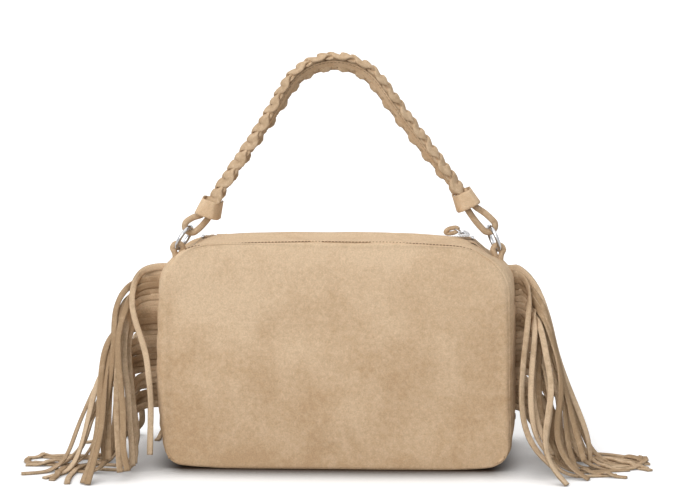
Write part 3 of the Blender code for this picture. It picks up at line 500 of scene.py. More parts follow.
class BodyShape:
    """Where each point of the body's skin lies, from its place on a square-sided block."""

    def __init__(self, settings):
        self.roll = mm(settings.edge_roll)
        self.crown = mm(settings.crown)
        self.outlines = [Outline(OUTLINES["middle"]), Outline(OUTLINES["front"])]

    def place(self, a, b, c):
        """a, b and c run from -1 to 1 across, back and up."""
        u, v = (a + 1) / 2, (c + 1) / 2
        flats = [outline.inside(u, v) for outline in self.outlines]
        ways = [outline.way_out(u, v, flat) for outline, flat in zip(self.outlines, flats)]
        deep = half_depth(flats[1][1])
        on_panel = abs(b) > 0.9999
        frontness = 1.0 if on_panel else abs(b) ** 2
        flat = flats[0] * (1 - frontness) + flats[1] * frontness
        normal = ways[0][1] * (1 - frontness) + ways[1][1] * frontness
        normal = normal / np.linalg.norm(normal)
        inward = ways[1][0] if on_panel else 0.0
        behind = 0.0 if on_panel else (1 - abs(b)) * deep
        high = smoothstep(156, 180, flat[1])
        low = 1 - smoothstep(3, 26, flat[1])
        roll = self.roll + (TIGHT_ROLL - self.roll) * max(high, low)
        if b > 0:
            flat[1] -= BACK_SAG * frontness * high
        moved_in, moved_back = inward, behind
        if inward < roll and behind < roll:
            toward = np.array([inward - roll, behind - roll])
            toward = toward / max(1e-6, np.linalg.norm(toward)) * roll
            moved_in, moved_back = roll + toward[0], roll + toward[1]
        flat = flat - normal * (moved_in - inward)
        y = deep - moved_back
        share = y / deep
        if on_panel:
            y += self.crown * (1 - abs(a) ** 2.2) * (1 - abs(c) ** 2.6)
            y += SEAM_RIDGE * hump(inward, 3.6, 1.8) * high
        else:
            belly = SIDE_BELLY * (1 - share ** 2)
            belly *= smoothstep(10, 40, flat[1]) * (1 - smoothstep(150, 172, flat[1]))
            flat = flat + normal * belly
            corner_seam = CORNER_SEAM * hump(behind, 4.5, 1.0) * (1 - high)
            side_seam = SIDE_SEAM * hump(y, 0, 1.2) * smoothstep(24, 34, flat[1])
            side_seam *= 1 - smoothstep(160, 164, flat[1])
            flat = flat - normal * (corner_seam + side_seam)
        groove = SEAM_GROOVE * hump(inward if on_panel else behind, 0, 0.9) * high
        flat = flat - normal * groove
        y -= groove
        if v > 0.98 and not on_panel:
            along_zip = 1 - smoothstep(88, 118, abs(flat[0]))
            lip = ZIP_LIP * hump(y, 9.5, 5.5) if b < 0 else -BACK_DIP * (1 - share)
            flat[1] += lip * along_zip
        return Vector((flat[0], math.copysign(y, b), flat[1]))


def slump(bm, slack, pucker):
    """Slack in the skin: slow hollows, puckers beside the seams, and dents under the rings."""
    bm.normal_update()
    moves = []
    for vert in bm.verts:
        x, y, z = (vert.co / MM)[:]
        free = smoothstep(1.0, 18.0, z)
        slow = noise.noise(Vector((x / 62, y / 62 + 3.1, z / 48))) * slack
        slow += noise.noise(Vector((x / 24 + 7.0, y / 24, z / 20))) * slack * 0.22
        near_side = math.exp(-max(0.0, 143 - abs(x)) / 9.0)
        near_base = math.exp(-max(0.0, z - 4) / 9.0)
        near = max(near_side, near_base) * (1 - smoothstep(140, 158, z))
        tight = 0.5 + 0.5 * noise.noise(Vector((x / 40, 9.0, z / 34)))
        waves = noise.noise(Vector((x / 8.5, y / 60, z / 7.0 + 20.0))) * pucker * near * tight
        along_side = 0.55 + 0.9 * noise.noise(Vector((x / 200, 4.0, z / 30)))
        hollow = SIDE_HOLLOW["left" if x < 0 else "right"] * hump(abs(x), 131, 4.0) * along_side
        hollow *= 1 - smoothstep(110, 150, z)
        pressed = RING_DENT * hump(abs(x), 124, 8) * hump(y, 0, 11) * smoothstep(158, 164, z)
        parallel = min(1.45, vert.calc_shell_factor())
        moves.append(vert.normal * (slow + waves - hollow - pressed) * parallel * free * MM)
    for vert, move in zip(bm.verts, moves):
        vert.co += move


def build_body(settings):
    shape = BodyShape(settings)
    count = settings.detail
    ends = spread(count, 0.82)
    rows = (ends, spread(count, 0.72, ends_only=False), ends)
    bm = bmesh.new()
    bmesh.ops.create_cube(bm, size=2)
    bmesh.ops.subdivide_edges(bm, edges=bm.edges[:], cuts=count - 1, use_grid_fill=True)
    where = {}
    for vert in bm.verts:
        steps = [round((value + 1) / 2 * count) for value in vert.co]
        where[vert] = steps
        vert.co = shape.place(*(row[step] for row, step in zip(rows, steps))) * MM
    slump(bm, mm(settings.slack), mm(settings.pucker))
    seams = []
    for edge in (0, count):
        row = [vert for vert, (across, back, up) in where.items() if back == edge
               and (up == count or across in (0, count) and vert.co.z > SEAM_END_Z * MM)]
        row.sort(key=lambda vert: vert.co.x)
        seams.append([((vert.co / MM)[:], vert.normal[:]) for vert in row])
    slit = [face for face in bm.faces
            if all(where[vert][2] == count and abs(vert.co.x) < SLIT_HALF_LENGTH * MM
                   and abs(vert.co.y) < SLIT_HALF_WIDTH * MM for vert in face.verts)]
    bmesh.ops.delete(bm, geom=slit, context="FACES")
    bmesh.ops.recalc_face_normals(bm, faces=bm.faces)
    body = new_mesh_piece("bag_body", bm, ["Sand suede"], "body", 60)
    add_wall(body, SKIN_THICKNESS, offset=-1, rim=0)
    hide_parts("front_panel", "back_panel", "base_panel", "side_gusset_front_left",
                "side_gusset_front_right", "side_gusset_back_left", "side_gusset_back_right",
                "top_strip_front", "top_strip_back")
    bm = bmesh.new()
    for seam in seams:
        points, normals = (np.array(column) for column in zip(*seam))
        add_stitches(bm, points + normals * STITCH_LIFT, normals, mm(settings.stitch_length),
                     mm(settings.stitch_gap), SEAM_THREAD_RADIUS)
    new_mesh_piece("top_seam_stitches", bm, ["Seam thread"], "body", 80)


# Zip

def build_zip(settings):
    for node in ("zip_tape_front", "zip_tape_back"):
        refinish(node, "Zip tape")
    pitch = mm(settings.tooth_pitch)
    low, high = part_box("zip_coil_front")
    middle_z = (low.z + high.z) / 2 / MM
    half = high.x / MM
    coil_y, half_width, half_height, wire = 1.75, 1.45, 0.75, 0.36
    for side, sign in (("front", -1), ("back", 1)):
        points = []
        for step in range(int(2 * half / pitch) * 8):
            angle = 2 * math.pi * step / 8 + (math.pi if sign > 0 else 0)
            points.append((-half + pitch * step / 8, sign * (coil_y - half_width * math.cos(angle)),
                           middle_z + half_height * math.sin(angle)))
        bm = bmesh.new()
        tube(bm, points, wire, 5, (1, 0, 0))
        coil = new_mesh_piece(f"coil_{side}", bm, ["Zip coil"], "body", 80)
        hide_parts(f"zip_coil_{side}")
    for side in SIDES:
        low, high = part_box(f"zip_stop_{side}")
        bm = bmesh.new()
        add_block(bm, (low + high) / 2, high - low)
        soften(bm, bm.edges[:], 0.5)
        stop = new_mesh_piece(f"stop_{side}", bm, [METAL], "body", 50)
        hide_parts(f"zip_stop_{side}")
    build_slider()
    build_pull()


def build_slider():
    """A top and a bottom plate, and over them the bail that carries the pull ring."""
    low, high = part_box("zip_slider")
    middle = (low.x + high.x) / 2
    bm = bmesh.new()
    length, width, thick, narrow_end, waist = 9.6, 7.6, 1.2, 0.62, 1.12
    for z in (SLIDER_TOP - thick / 2, low.z / MM + thick / 2):
        plate = add_block(bm, Vector((middle, 0, z * MM)), Vector((length, width, thick)) * MM)
        for vert in plate:
            if vert.co.x < middle:
                vert.co.y *= narrow_end
    bmesh.ops.subdivide_edges(bm, edges=bm.edges[:], cuts=1, use_grid_fill=True)
    for vert in bm.verts:
        if abs(vert.co.x - middle) < 0.1 * length * MM:
            vert.co.y *= waist
    soften(bm, [edge for edge in bm.edges if edge.calc_face_angle(0) > 0.5], 0.35)
    half_span, rise, wire = 3.1, 2.0, 0.85
    arch = [(middle / MM - half_span * math.cos(angle), 0, SLIDER_TOP - 0.2 + rise * math.sin(angle))
            for angle in np.linspace(0, math.pi, 15)]
    tube(bm, arch, wire, 10)
    slider = new_mesh_piece("slider", bm, [METAL], "slider", 40)
    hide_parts("zip_slider")


def build_pull():
    """The slider's ring, and through it a short loop of suede cord."""
    low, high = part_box("zip_pull_ring")
    centre = (low + high) / 2 / MM
    along = Vector((low.x - high.x, 0, high.z - low.z)).normalized()
    bm = bmesh.new()
    ring_tube(bm, centre, along, (0, 1, 0), PULL_RING_RADIUS, 0.65, 40, 10)
    pull_ring = new_mesh_piece("pull_ring", bm, [METAL], "pull", 80)
    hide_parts("zip_pull_ring")
    wire = centre + along * PULL_RING_RADIUS
    points = []
    for angle in np.linspace(0, 2 * math.pi, 24, endpoint=False):
        c, s = math.cos(angle), math.sin(angle)
        points.append((wire.x - 2.6 + 5.0 * superellipse(angle, 0.85, 1)[0], 0.5 * math.sin(2 * angle),
                       wire.z - 1.6 + 2.1 * s + 1.2 * c))
    bm = bmesh.new()
    tube(bm, smooth_line(points + points[:1], 0.7), PULL_CORD_RADIUS)
    cord = new_mesh_piece("pull_cord", bm, ["Cord suede"], "pull", 60)
    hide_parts("zip_pull")


# Tabs and rings

def ring_up(side):
    return Vector((-SIDES[side] * math.sin(RING_TILT[side]), 0, math.cos(RING_TILT[side])))


def ring_foot(side):
    return Vector((SIDES[side] * TAB_X, 0, TAB_CROWN_Z - TAB_RADIUS))


def build_tabs_and_rings():
    for side, sign in SIDES.items():
        centre = ring_foot(side)
        points = [(2.0, -13), (2.3, -4.6)]
        points += [(TAB_RADIUS * math.cos(angle), TAB_RADIUS * math.sin(angle))
                   for angle in np.linspace(0, math.pi, 15)]
        points += [(-2.3, -4.6), (-2.0, -10)]
        points = [(centre.x + sign * out, 0, centre.z + up) for out, up in points]
        bm = bmesh.new()
        tube(bm, smooth_line(points, 0.8), TAB_CORD_RADIUS, 14)
        tab = new_mesh_piece(f"tab_{side}", bm, ["Cord suede"], "body", 60)
        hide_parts(f"tab_loop_{side}")
        bm = bmesh.new()
        up = ring_up(side)
        deep = Matrix.Rotation(sign * RING_TWIST, 3, up) @ Vector((0, 1, 0))
        ring_tube(bm, centre + up * RING_RADIUS, up, deep, RING_RADIUS, RING_WIRE)
        metal_ring = new_mesh_piece(f"metal_ring_{side}", bm, [METAL], f"ring_{side}",
                                    80)
        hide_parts(f"ring_{side}")


# Handle

def strand_frame(s, phase, width):
    """A strand's middle and the way its face looks, as it sways over and under the others."""
    turn = 2 * math.pi * s / PLAIT_PITCH + phase
    place, across, lift = strap_axes(s)
    rise = -0.66 * math.cos(3 * turn) - 0.34 * math.cos(turn)
    sway = math.sin(turn)
    middle = (place + across * (min(MOST_SWAY, width * 0.7) * sway - PLAIT_SHIFT)
              + lift * (STRAND_RISE * rise - STRAND_SINK * sway * sway))
    face = STRAND_TILT * sway * abs(sway)
    return middle, lift * math.cos(face) + across * math.sin(face)


def build_plait(settings):
    for number in range(4):
        phase = number * math.pi / 2
        wide = number % 2 == 0
        width = mm(settings.strand_width) * (1.0 if wide else 0.64)
        thick = mm(settings.strand_thickness) * (1.0 if wide else 0.85)
        frames = []
        for s in np.arange(-PLAIT_HALF, PLAIT_HALF + 0.1, 1.2):
            here, face = strand_frame(s, phase, width)
            along = strand_frame(s + 0.6, phase, width)[0] - strand_frame(s - 0.6, phase, width)[0]
            along.normalize()
            side = face.cross(along).normalized()
            frames.append((here, side, along.cross(side).normalized()))
        last = len(frames) - 1

        def place(u, v):
            here, side, up = frames[round(v * last)]
            out, rise = superellipse(2 * math.pi * u, 0.8, 0.9)
            return here + side * width / 2 * out + up * thick / 2 * rise

        bm = bmesh.new()
        laid_tube(bm, 14, last, place)
        strand = new_mesh_piece(f"strand_{number + 1}", bm, ["Plait suede"], "handle", 70)
        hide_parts(f"plait_strand_{number + 1}")


def build_band(settings):
    """The flat strip under the plait, with a row of stitches along each edge."""
    half = mm(settings.band_width) / 2

    def place(u, v):
        s = PLAIT_HALF * (2 * v - 1)
        here, across, lift = strap_axes(s)
        cup = 0.5 * (2 * u - 1) ** 2
        return here + across * (BAND_SHIFT + half * (2 * u - 1)) + lift * (BAND_LIFT + 0.3 + cup)

    bm = bmesh.new()
    laid_grid(bm, 6, 200, place)
    bmesh.ops.recalc_face_normals(bm, faces=bm.faces)
    band = new_mesh_piece("band", bm, ["Smooth suede", "Cut edge"], "handle", 50)
    add_wall(band, BAND_THICKNESS)
    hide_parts("handle_band")
    bm = bmesh.new()
    for edge in (-1, 1):
        line, normals = [], []
        for s in np.arange(-HANDLE_HALF + 8, HANDLE_HALF - 8, 1.0):
            here, across, lift = strap_axes(s)
            line.append(here + across * (BAND_SHIFT + edge * (half - 1.5)) + lift * (BAND_LIFT - 0.35))
            normals.append(-lift)
        add_stitches(bm, line, normals, *BAND_STITCHES)
    new_mesh_piece("band_stitches", bm, ["Tan thread"], "handle", 80)


def end_frame(side, distance):
    """The handle's middle line in its end wraps, which hang more steeply than the strap."""
    sign = SIDES[side]
    place, along, outward = handle_frame(sign * (HANDLE_HALF - 1.5))
    turn = Matrix.Rotation(sign * KEEPER_DROOP[side], 3, "Y")
    return place + turn @ along * sign * (distance - KEEPER_LENGTH / 2), turn @ outward


def build_keepers():
    """A suede strip wrapped once and a bit round each end of the strap, with its free end lifted."""
    depth, outer, inner, flare = 11.2, 5.4, 7.0, 2.4
    turns, overlap, lift, lift_from = 1.2, 1.5, 3.2, 0.86
    for side in SIDES:

        def place(u, v):
            here, outward = end_frame(side, KEEPER_LENGTH * v)
            turn = turns * u
            lifted = lift * max(0.0, u - lift_from) / (1 - lift_from)
            grow = overlap * smoothstep(0.93, 1.07, turn) + lifted
            back, up = superellipse(2 * math.pi * turn - 0.62 * math.pi, 0.5, 0.5)
            return (here + Vector((0, 1, 0)) * back * (depth + grow)
                    + outward * ((outer - inner) / 2 + up * ((outer + inner) / 2 + flare * v + grow)))

        bm = bmesh.new()
        laid_grid(bm, 84, 8, place)
        bmesh.ops.recalc_face_normals(bm, faces=bm.faces)
        keeper = new_mesh_piece(f"wrap_{side}", bm, ["Smooth suede", "Cut edge"], "handle", 50)
        add_wall(keeper, KEEPER_THICKNESS)
        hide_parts(f"keeper_{side}")


def build_handle_loops():
    """Rolled cords from the wraps, round the tops of the rings and back."""
    radius, bight = 2.6, 5.4
    for side in SIDES:
        wire = ring_foot(side) + ring_up(side) * 2 * RING_RADIUS
        mouth, outward = end_frame(side, KEEPER_LENGTH)
        inside, _ = end_frame(side, KEEPER_LENGTH * 0.45)
        along = (wire - mouth).normalized()
        across = Vector((-along.z, 0, along.x))
        if across.dot(outward) < 0:
            across = -across
        centre = wire - along * (bight - radius - RING_WIRE - 0.3)
        bend = [centre + across * bight * math.cos(angle) + along * bight * math.sin(angle)
                for angle in np.linspace(0, math.pi, 7)]
        legs = []
        for way, foot in ((1, bend[0]), (-1, bend[-1])):
            last = mouth + outward * (3.0 * way - 0.8)
            legs.append([inside + outward * (2.9 * way - 0.8), last,
                         last.lerp(foot, 0.55) + across * way * 0.7])
        bm = bmesh.new()
        tube(bm, smooth_line(legs[0] + bend + legs[1][::-1], 1.0), radius, 16)
        loop = new_mesh_piece(f"loop_{side}", bm, ["Cord suede"], "handle", 60)
        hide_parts(f"handle_loop_{side}")


# Fringe

def comb_root(tooth):
    """Where a strip leaves the side seam."""
    z = COMB_TOP - (tooth + 0.5) * COMB_PITCH
    out, up = zip(*OUTLINES["middle"]["left"])
    return np.array([np.interp(z, up, out), 0.0, z])


def follower_route(side, tooth, source, out, back):
    """A strip's points after another one's: behind the bag, or in front of it where back is minus."""
    points = np.array(ROUTES[side][source], float)
    height = comb_root(tooth)[2] / comb_root(source)[2]
    points = (points - (BODY_SIDE_X, 0, 0)) * (out, -back, height) + (BODY_SIDE_X, 0, 0)
    points = points[points[:, 2] > 3]
    if points[-1][2] < 30:
        foot = points[-1][:2]
        away = np.array([0.9, 0.2] if back < 0 else [0.55, -0.4])
        points = np.vstack([points, *([*(foot + reach * away), FLOOR_Z] for reach in (14, 36, 60))])
    return points


def floor_route(tooth, foot_x, foot_y, tip_x, tip_y):
    """A low strip's points: out of the seam, down to the floor, and in a lazy bow to its tip."""
    root = comb_root(tooth)
    foot, tip = np.array([foot_x, foot_y, 3.0]), np.array([tip_x, tip_y, FLOOR_Z])
    run = foot - root
    points = [root + np.array([6.0, 0, 0.5]),
              root + np.array([run[0] * 0.42, run[1] * 0.3, root[2] * 0.01]),
              root + np.array([run[0] * 0.75, run[1] * 0.65, -root[2] * 0.38]), foot]
    spare = STRIP_LENGTH - 0.9 * np.linalg.norm(run[:2]) - root[2]
    straight = np.linalg.norm(tip - foot)
    bow = min(12.0, math.sqrt(max(0.0, 3 * straight * (spare - straight) / 8)))
    across = np.array([-(tip - foot)[1], (tip - foot)[0], 0]) / straight * (1 if tooth % 2 else -1)
    for share in (0.25, 0.5, 0.75):
        points.append(foot + (tip - foot) * share + across * bow * math.sin(math.pi * share))
    return points + [tip]


def strip_line(tooth, route, straight):
    """A strip's middle line, out from the seam and then along its route. X is outwards."""
    root = comb_root(tooth)
    route = [np.array(point, float) for point in route
             if point[0] > BODY_SIDE_X + 3 + straight or point[2] < root[2] - straight * 0.8]
    lean = 0.1 * route[0][1]
    start = [root + np.array([out, lean * max(0.0, out) / straight, 0.4])
             for out in (-1.2, straight / 2, straight)]
    line = smooth_line(start + route, 2.0)
    travelled = run_along(line)
    full = STRIP_LENGTH * (1 - 0.07 * smoothstep(9, 15, tooth)) + 3 * math.sin(tooth * 2.4)
    return read_line(line, travelled, np.linspace(0, min(travelled[-1], full), STRIP_POINTS))


def keep_apart(lines, gap, rounds=70):
    """Moves strips off each other, off the body and off the floor, and keeps their lengths."""
    push_share, longest_push, ease = 0.22, 0.8, 0.05
    lines = np.array(lines)
    count, points, _ = lines.shape
    rest = np.linalg.norm(np.diff(lines, axis=1), axis=2)
    owner = np.repeat(np.arange(count), points)
    fixed = lines[:, :3].copy()
    for _ in range(rounds):
        flat = lines.reshape(-1, 3)
        away = flat[:, None, :] - flat[None, :, :]
        distance = np.linalg.norm(away, axis=2) + 1e-6
        close = (distance < gap) & (owner[:, None] != owner[None, :])
        push = np.where(close, (gap - distance) * push_share / distance, 0.0)
        move = (away * push[:, :, None]).sum(axis=1)
        size = np.linalg.norm(move, axis=1, keepdims=True)
        move *= np.minimum(1.0, longest_push / np.maximum(size, 1e-6))
        lines = (flat + move).reshape(lines.shape)
        x, y, z = (lines[:, :, axis] for axis in range(3))
        inside_x = BODY_CLEAR_X - x
        inside_y = straight_half_depth(z) + BODY_CLEAR_Y - np.abs(y)
        inside = (inside_x > 0) & (inside_y > 0)
        sideways = inside & (inside_x <= inside_y)
        endways = inside & (inside_x > inside_y)
        x += np.where(sideways, inside_x, 0)
        y += np.where(endways, inside_y, 0) * np.sign(y)
        np.maximum(z, FLOOR_CLEAR, out=z)
        x -= np.maximum(0, x - TIP_REACH[0]) * 0.5
        y -= np.maximum(0, np.abs(y) - TIP_REACH[1]) * 0.5 * np.sign(y)
        lines[:, :3] = fixed
        lines[:, 2:-1] = lines[:, 2:-1] * (1 - 2 * ease) + (lines[:, 1:-2] + lines[:, 3:]) * ease
        for index in range(points - 1):
            step = lines[:, index + 1] - lines[:, index]
            length = np.linalg.norm(step, axis=1, keepdims=True)
            lines[:, index + 1:] -= (step * (1 - rest[:, index:index + 1] / length))[:, None, :]
        np.maximum(z, FLOOR_CLEAR, out=z)
    return lines


def strip_sides(line, tooth, direction):
    """The width direction at each point: upright at the seam, then level, with a lazy twist on the way."""
    turn = math.radians(direction)
    fall = Vector((math.cos(turn), math.sin(turn), 0))
    travelled = run_along(line)
    sides = []
    for index, point in enumerate(line):
        ahead = Vector(line[min(index + 1, len(line) - 1)])
        behind = Vector(line[max(index - 1, 0)])
        along = (ahead - behind).normalized()
        level = Vector((along.x, along.y, 0)) * 1.6 + fall * 0.6
        side = Vector((0, 0, 1)).cross(level).normalized()
        side = (side - along * side.dot(along)).normalized()
        up = along.cross(side)
        run = travelled[index]
        lazy = 0.9 * noise.noise(Vector((run / 55, tooth * 3.7, direction / 40)))
        lazy *= smoothstep(18, 50, run) * smoothstep(0.5, 14, point[2])
        angle = (1 - smoothstep(26, 52, run)) * math.pi / 2 + lazy
        sides.append(side * math.cos(angle) + up * math.sin(angle))
    return sides


def build_fringe(side, settings):
    """One piece of suede cut into a comb: its header lies in the side seam, and its strips hang free."""
    sign = SIDES[side]
    routes = dict(ROUTES[side])
    routes.update({tooth: follower_route(side, tooth, *way) for tooth, *way in FOLLOWERS[side]})
    routes.update({tooth: floor_route(tooth, *way) for tooth, *way in ON_FLOOR[side]})
    teeth = sorted(routes)
    lines = [strip_line(tooth, routes[tooth], ROOT_RUN[side]) for tooth in teeth]
    bm = bmesh.new()
    tone = bm.verts.layers.float.new("strip_tone")
    for tooth, line in zip(teeth, keep_apart(lines, mm(settings.clearance))):
        dense = smooth_line(line, STRIP_STEP)
        reach = line[-1] - line[0]
        sides = strip_sides(dense, tooth, math.degrees(math.atan2(reach[1], reach[0])))
        last = len(dense) - 1
        half = mm(settings.strip_width) / 2 * (1 + 0.06 * math.sin(tooth * 5.1))
        root_half = COMB_PITCH / 2 + 0.35

        def place(u, v):
            index = round(v * last)
            width = half + (root_half - half) * (1 - smoothstep(26, 46, index * STRIP_STEP))
            x, y, z = Vector(dense[index]) + sides[index] * width * (2 * u - 1)
            return sign * x, y, max(z, 0.75)

        shade = 0.5 + 0.5 * math.sin(tooth * 7.3 + 2)
        for vert in laid_grid(bm, 3, last, place):
            vert[tone] = shade

    def header(u, v):
        x, _, z = comb_root(COMB_TEETH * v - 0.5)
        return sign * (x - 7.5 + 6 * u), 0, z

    laid_grid(bm, 3, COMB_TEETH, header)
    bmesh.ops.recalc_face_normals(bm, faces=bm.faces)
    fringe = new_mesh_piece(f"comb_{side}", bm, ["Fringe suede", "Cut edge"], "body", 50)
    add_wall(fringe, mm(settings.strip_thickness))
    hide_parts(f"fringe_{side}")


# Materials

def add_node(tree, kind, settings=(), inputs=()):
    """Adds a node, sets its properties and its inputs: a value, or the output that feeds it."""
    node = tree.nodes.new(kind)
    for name, value in dict(settings).items():
        setattr(node, name, value)
    for name, value in dict(inputs).items():
        set_input(tree, node, name, value)
    return node


def set_input(tree, node, name, value):
    if isinstance(value, bpy.types.NodeSocket):
        tree.links.new(value, node.inputs[name])
    else:
        node.inputs[name].default_value = value


def object_coords(tree):
    return tree.nodes.new("ShaderNodeTexCoord").outputs["Object"]


def noise_value(tree, place, scale, detail, roughness=0.5, distortion=0.0):
    """A noise texture's value from 0 to 1."""
    return add_node(tree, "ShaderNodeTexNoise", inputs={
        "Vector": place, "Scale": scale, "Detail": detail, "Roughness": roughness,
        "Distortion": distortion}).outputs["Fac"]


def map_value(tree, value, from_range=(0.0, 1.0), to_range=(0.0, 1.0), settings=()):
    """A value moved from one range to another."""
    return add_node(tree, "ShaderNodeMapRange", settings, {
        "Value": value, "From Min": from_range[0], "From Max": from_range[1],
        "To Min": to_range[0], "To Max": to_range[1]}).outputs["Result"]


def calculate(tree, operation, first, second=0.0, clamp=False):
    return add_node(tree, "ShaderNodeMath", {"operation": operation, "use_clamp": clamp},
                    {0: first, 1: second}).outputs["Value"]


def mix_values(tree, factor, a, b):
    return add_node(tree, "ShaderNodeMix", inputs={"Factor": factor, "A": a, "B": b}).outputs["Result"]


def mix_colours(tree, factor, a, b, blend="MIX"):
    return add_node(tree, "ShaderNodeMix", {"data_type": "RGBA", "blend_type": blend},
                    {"Factor": factor, "A": a, "B": b}).outputs["Result"]


def bump_normal(tree, height, strength, distance):
    return add_node(tree, "ShaderNodeBump", inputs={
        "Height": height, "Strength": strength, "Distance": distance}).outputs["Normal"]


def tinted(colour, share=1.0):
    """A colour made darker or paler, with its alpha."""
    return (*(channel * share for channel in colour), 1.0)


def nap_group():
    """Suede: slow blotches, finer mottling and a fine pile, mixed between a lit and a shaded copy of its
    colour, so partly the nap's own tone and partly painted light and shade. Tone shifts it towards the lit
    pile.
    """
    group = bpy.data.node_groups.new("Suede nap", "ShaderNodeTree")
    for way, kind, *names in (
            ("INPUT", "Color", "Lit pile", "Brushed pile"),
            ("INPUT", "Float", "Blotch scale", "Mottle scale", "Pile scale", "Blotch share", "Tone"),
            ("OUTPUT", "Color", "Color"), ("OUTPUT", "Float", "Roughness", "Height")):
        for name in names:
            group.interface.new_socket(name, in_out=way, socket_type=f"NodeSocket{kind}")
    source = group.nodes.new("NodeGroupInput").outputs
    place = object_coords(group)
    blotch = noise_value(group, place, source["Blotch scale"], 5.0, 0.6, 0.5)
    mottle = noise_value(group, place, source["Mottle scale"], 4.0, 0.62, 0.3)
    pile = noise_value(group, place, source["Pile scale"], 3.0, 0.7)
    wide = map_value(group, blotch, (0.36, 0.64))
    small = map_value(group, mottle, (0.34, 0.66))
    both = mix_values(group, source["Blotch share"], small, wide)
    lit = calculate(group, "ADD", both, source["Tone"], clamp=True)
    tone = mix_colours(group, lit, source["Brushed pile"], source["Lit pile"])
    speck = map_value(group, pile, (0.25, 0.75), (0.83, 1.14))
    shaded = add_node(group, "ShaderNodeVectorMath", {"operation": "SCALE"},
                      {"Vector": tone, "Scale": speck})
    add_node(group, "NodeGroupOutput", inputs={
        "Color": shaded.outputs["Vector"],
        "Roughness": map_value(group, small, to_range=(0.82, 0.97)),
        "Height": mix_values(group, 0.35, pile, mottle)})


def new_material(name):
    """A material's node tree, and a function that sets its Principled shader's inputs."""
    made = bpy.data.materials.new(name)
    made.use_nodes = True
    tree = made.node_tree

    def shade(**inputs):
        for name, value in inputs.items():
            socket = {"specular": "Specular IOR Level"}.get(name, name.replace("_", " ").title())
            set_input(tree, tree.nodes["Principled BSDF"], socket, value)

    return tree, shade


def suede_material(name, lit, brushed, scales, blotch_share, bump, sheen, tone=None):
    """Suede of the nap group. Scales are those of its blotches, mottling and pile; tone(tree) shifts it."""
    tree, shade = new_material(name)
    nap = add_node(tree, "ShaderNodeGroup", {"node_tree": bpy.data.node_groups["Suede nap"]}, {
        "Lit pile": lit, "Brushed pile": brushed, "Blotch scale": scales[0], "Mottle scale": scales[1],
        "Pile scale": scales[2], "Blotch share": blotch_share, "Tone": tone(tree) if tone else 0.0}).outputs
    shade(base_color=nap["Color"], roughness=nap["Roughness"],
          normal=bump_normal(tree, nap["Height"], bump, 0.0006),
          sheen_weight=sheen, sheen_roughness=0.5, sheen_tint=lit, specular=0.15)


def paler_upwards(tree):
    """The body's tone by height, as soft light from above would have it."""
    place = add_node(tree, "ShaderNodeSeparateXYZ", inputs={"Vector": object_coords(tree)})
    return map_value(tree, place.outputs["Z"], (0.0, 0.18), (-0.36, 0.36))


def strip_by_strip(tree):
    """The fringe's tone, another one for each strip."""
    strip = add_node(tree, "ShaderNodeAttribute", {"attribute_name": "strip_tone"})
    return map_value(tree, strip.outputs["Fac"], to_range=(-0.55, 0.5))


def woven_material(name, colour, threads):
    """Plain weave: warp and weft ribs under a slight change of colour."""
    tree, shade = new_material(name)
    place = object_coords(tree)
    warp, weft = (add_node(tree, "ShaderNodeTexWave", {"bands_direction": way},
                           {"Vector": place, "Scale": threads}).outputs["Color"] for way in "XY")
    cloth = mix_colours(tree, 1.0, warp, weft, "MULTIPLY")
    fade = noise_value(tree, place, 60.0, 3.0)
    shade(base_color=mix_colours(tree, fade, tinted(colour, 0.8), tinted(colour, 1.15)),
          normal=bump_normal(tree, cloth, 0.5, 0.0003), roughness=0.85, specular=0.2)


def thread_material(name, colour):
    tree, shade = new_material(name)
    strands = add_node(tree, "ShaderNodeTexWave", {"bands_direction": "DIAGONAL"}, {
        "Vector": object_coords(tree), "Scale": 900.0, "Distortion": 2.0}).outputs["Fac"]
    shade(base_color=mix_colours(tree, strands, tinted(colour, 0.75), tinted(colour, 1.2)),
          normal=bump_normal(tree, strands, 0.4, 0.0002), roughness=0.6)


def metal_material(name, colour):
    """Polished plated metal with faint handling marks."""
    tree, shade = new_material(name)
    marks = noise_value(tree, object_coords(tree), 420.0, 5.0, 0.7)
    shade(base_color=mix_colours(tree, marks, tinted(colour, 0.93), tinted(colour)),
          roughness=map_value(tree, marks, (0.3, 0.75), (0.06, 0.17)), metallic=1.0)


def cloudy_material(name, colour, shares, scale, detail, roughness):
    """A plain material that goes in soft clouds from one share of its colour to another."""
    tree, shade = new_material(name)
    cloudy = noise_value(tree, object_coords(tree), scale, detail)
    dark, pale = (tinted(colour, share) for share in shares)
    shade(base_color=mix_colours(tree, cloudy, dark, pale), roughness=roughness)


def build_materials(colours):
    nap_group()
    # lit and brushed scale the lit and the shaded copy of the suede's colour: painted light and shade,
    # which the nap blotches mix between
    for name, lit, brushed, scales, blotch_share, bump, sheen, tone in (
            ("Sand suede", 1.0, 1.0, (20, 260, 800), 0.58, 0.4, 0.35, paler_upwards),
            ("Fringe suede", 0.93, 0.72, (30, 200, 1100), 0.5, 0.5, 0.25, strip_by_strip),
            ("Plait suede", 1.0, 0.9, (60, 240, 1300), 0.4, 0.6, 0.25, None),
            # Painted light: smooth suede made paler to stand for light on the band under the handle, which
            # faces down into shade; the wraps share it
            ("Smooth suede", 1.14, 1.22, (40, 180, 1300), 0.5, 0.3, 0.2, None),
            ("Cord suede", 0.95, 0.86, (50, 260, 1300), 0.4, 0.5, 0.25, None),
            ("Cut edge", 0.86, 0.72, (120, 500, 1600), 0.3, 0.7, 0.15, None)):
        suede_material(name, tinted(colours.lit_pile, lit), tinted(colours.brushed_pile_in_shade, brushed), scales,
                       blotch_share, bump, sheen, tone)
    thread_material("Seam thread", colours.seam_thread)
    thread_material("Tan thread", colours.band_thread)
    woven_material("Zip tape", colours.zip_tape, 520.0)
    woven_material("Lining cloth", colours.lining, 420.0)
    cloudy_material("Zip coil", colours.zip_coil, (0.85, 1.1), 260.0, 3.0, 0.42)
    cloudy_material("Fibre board", colours.board, (1.0, 2.0), 300.0, 4.0, 0.85)
    metal_material(METAL, colours.metal)


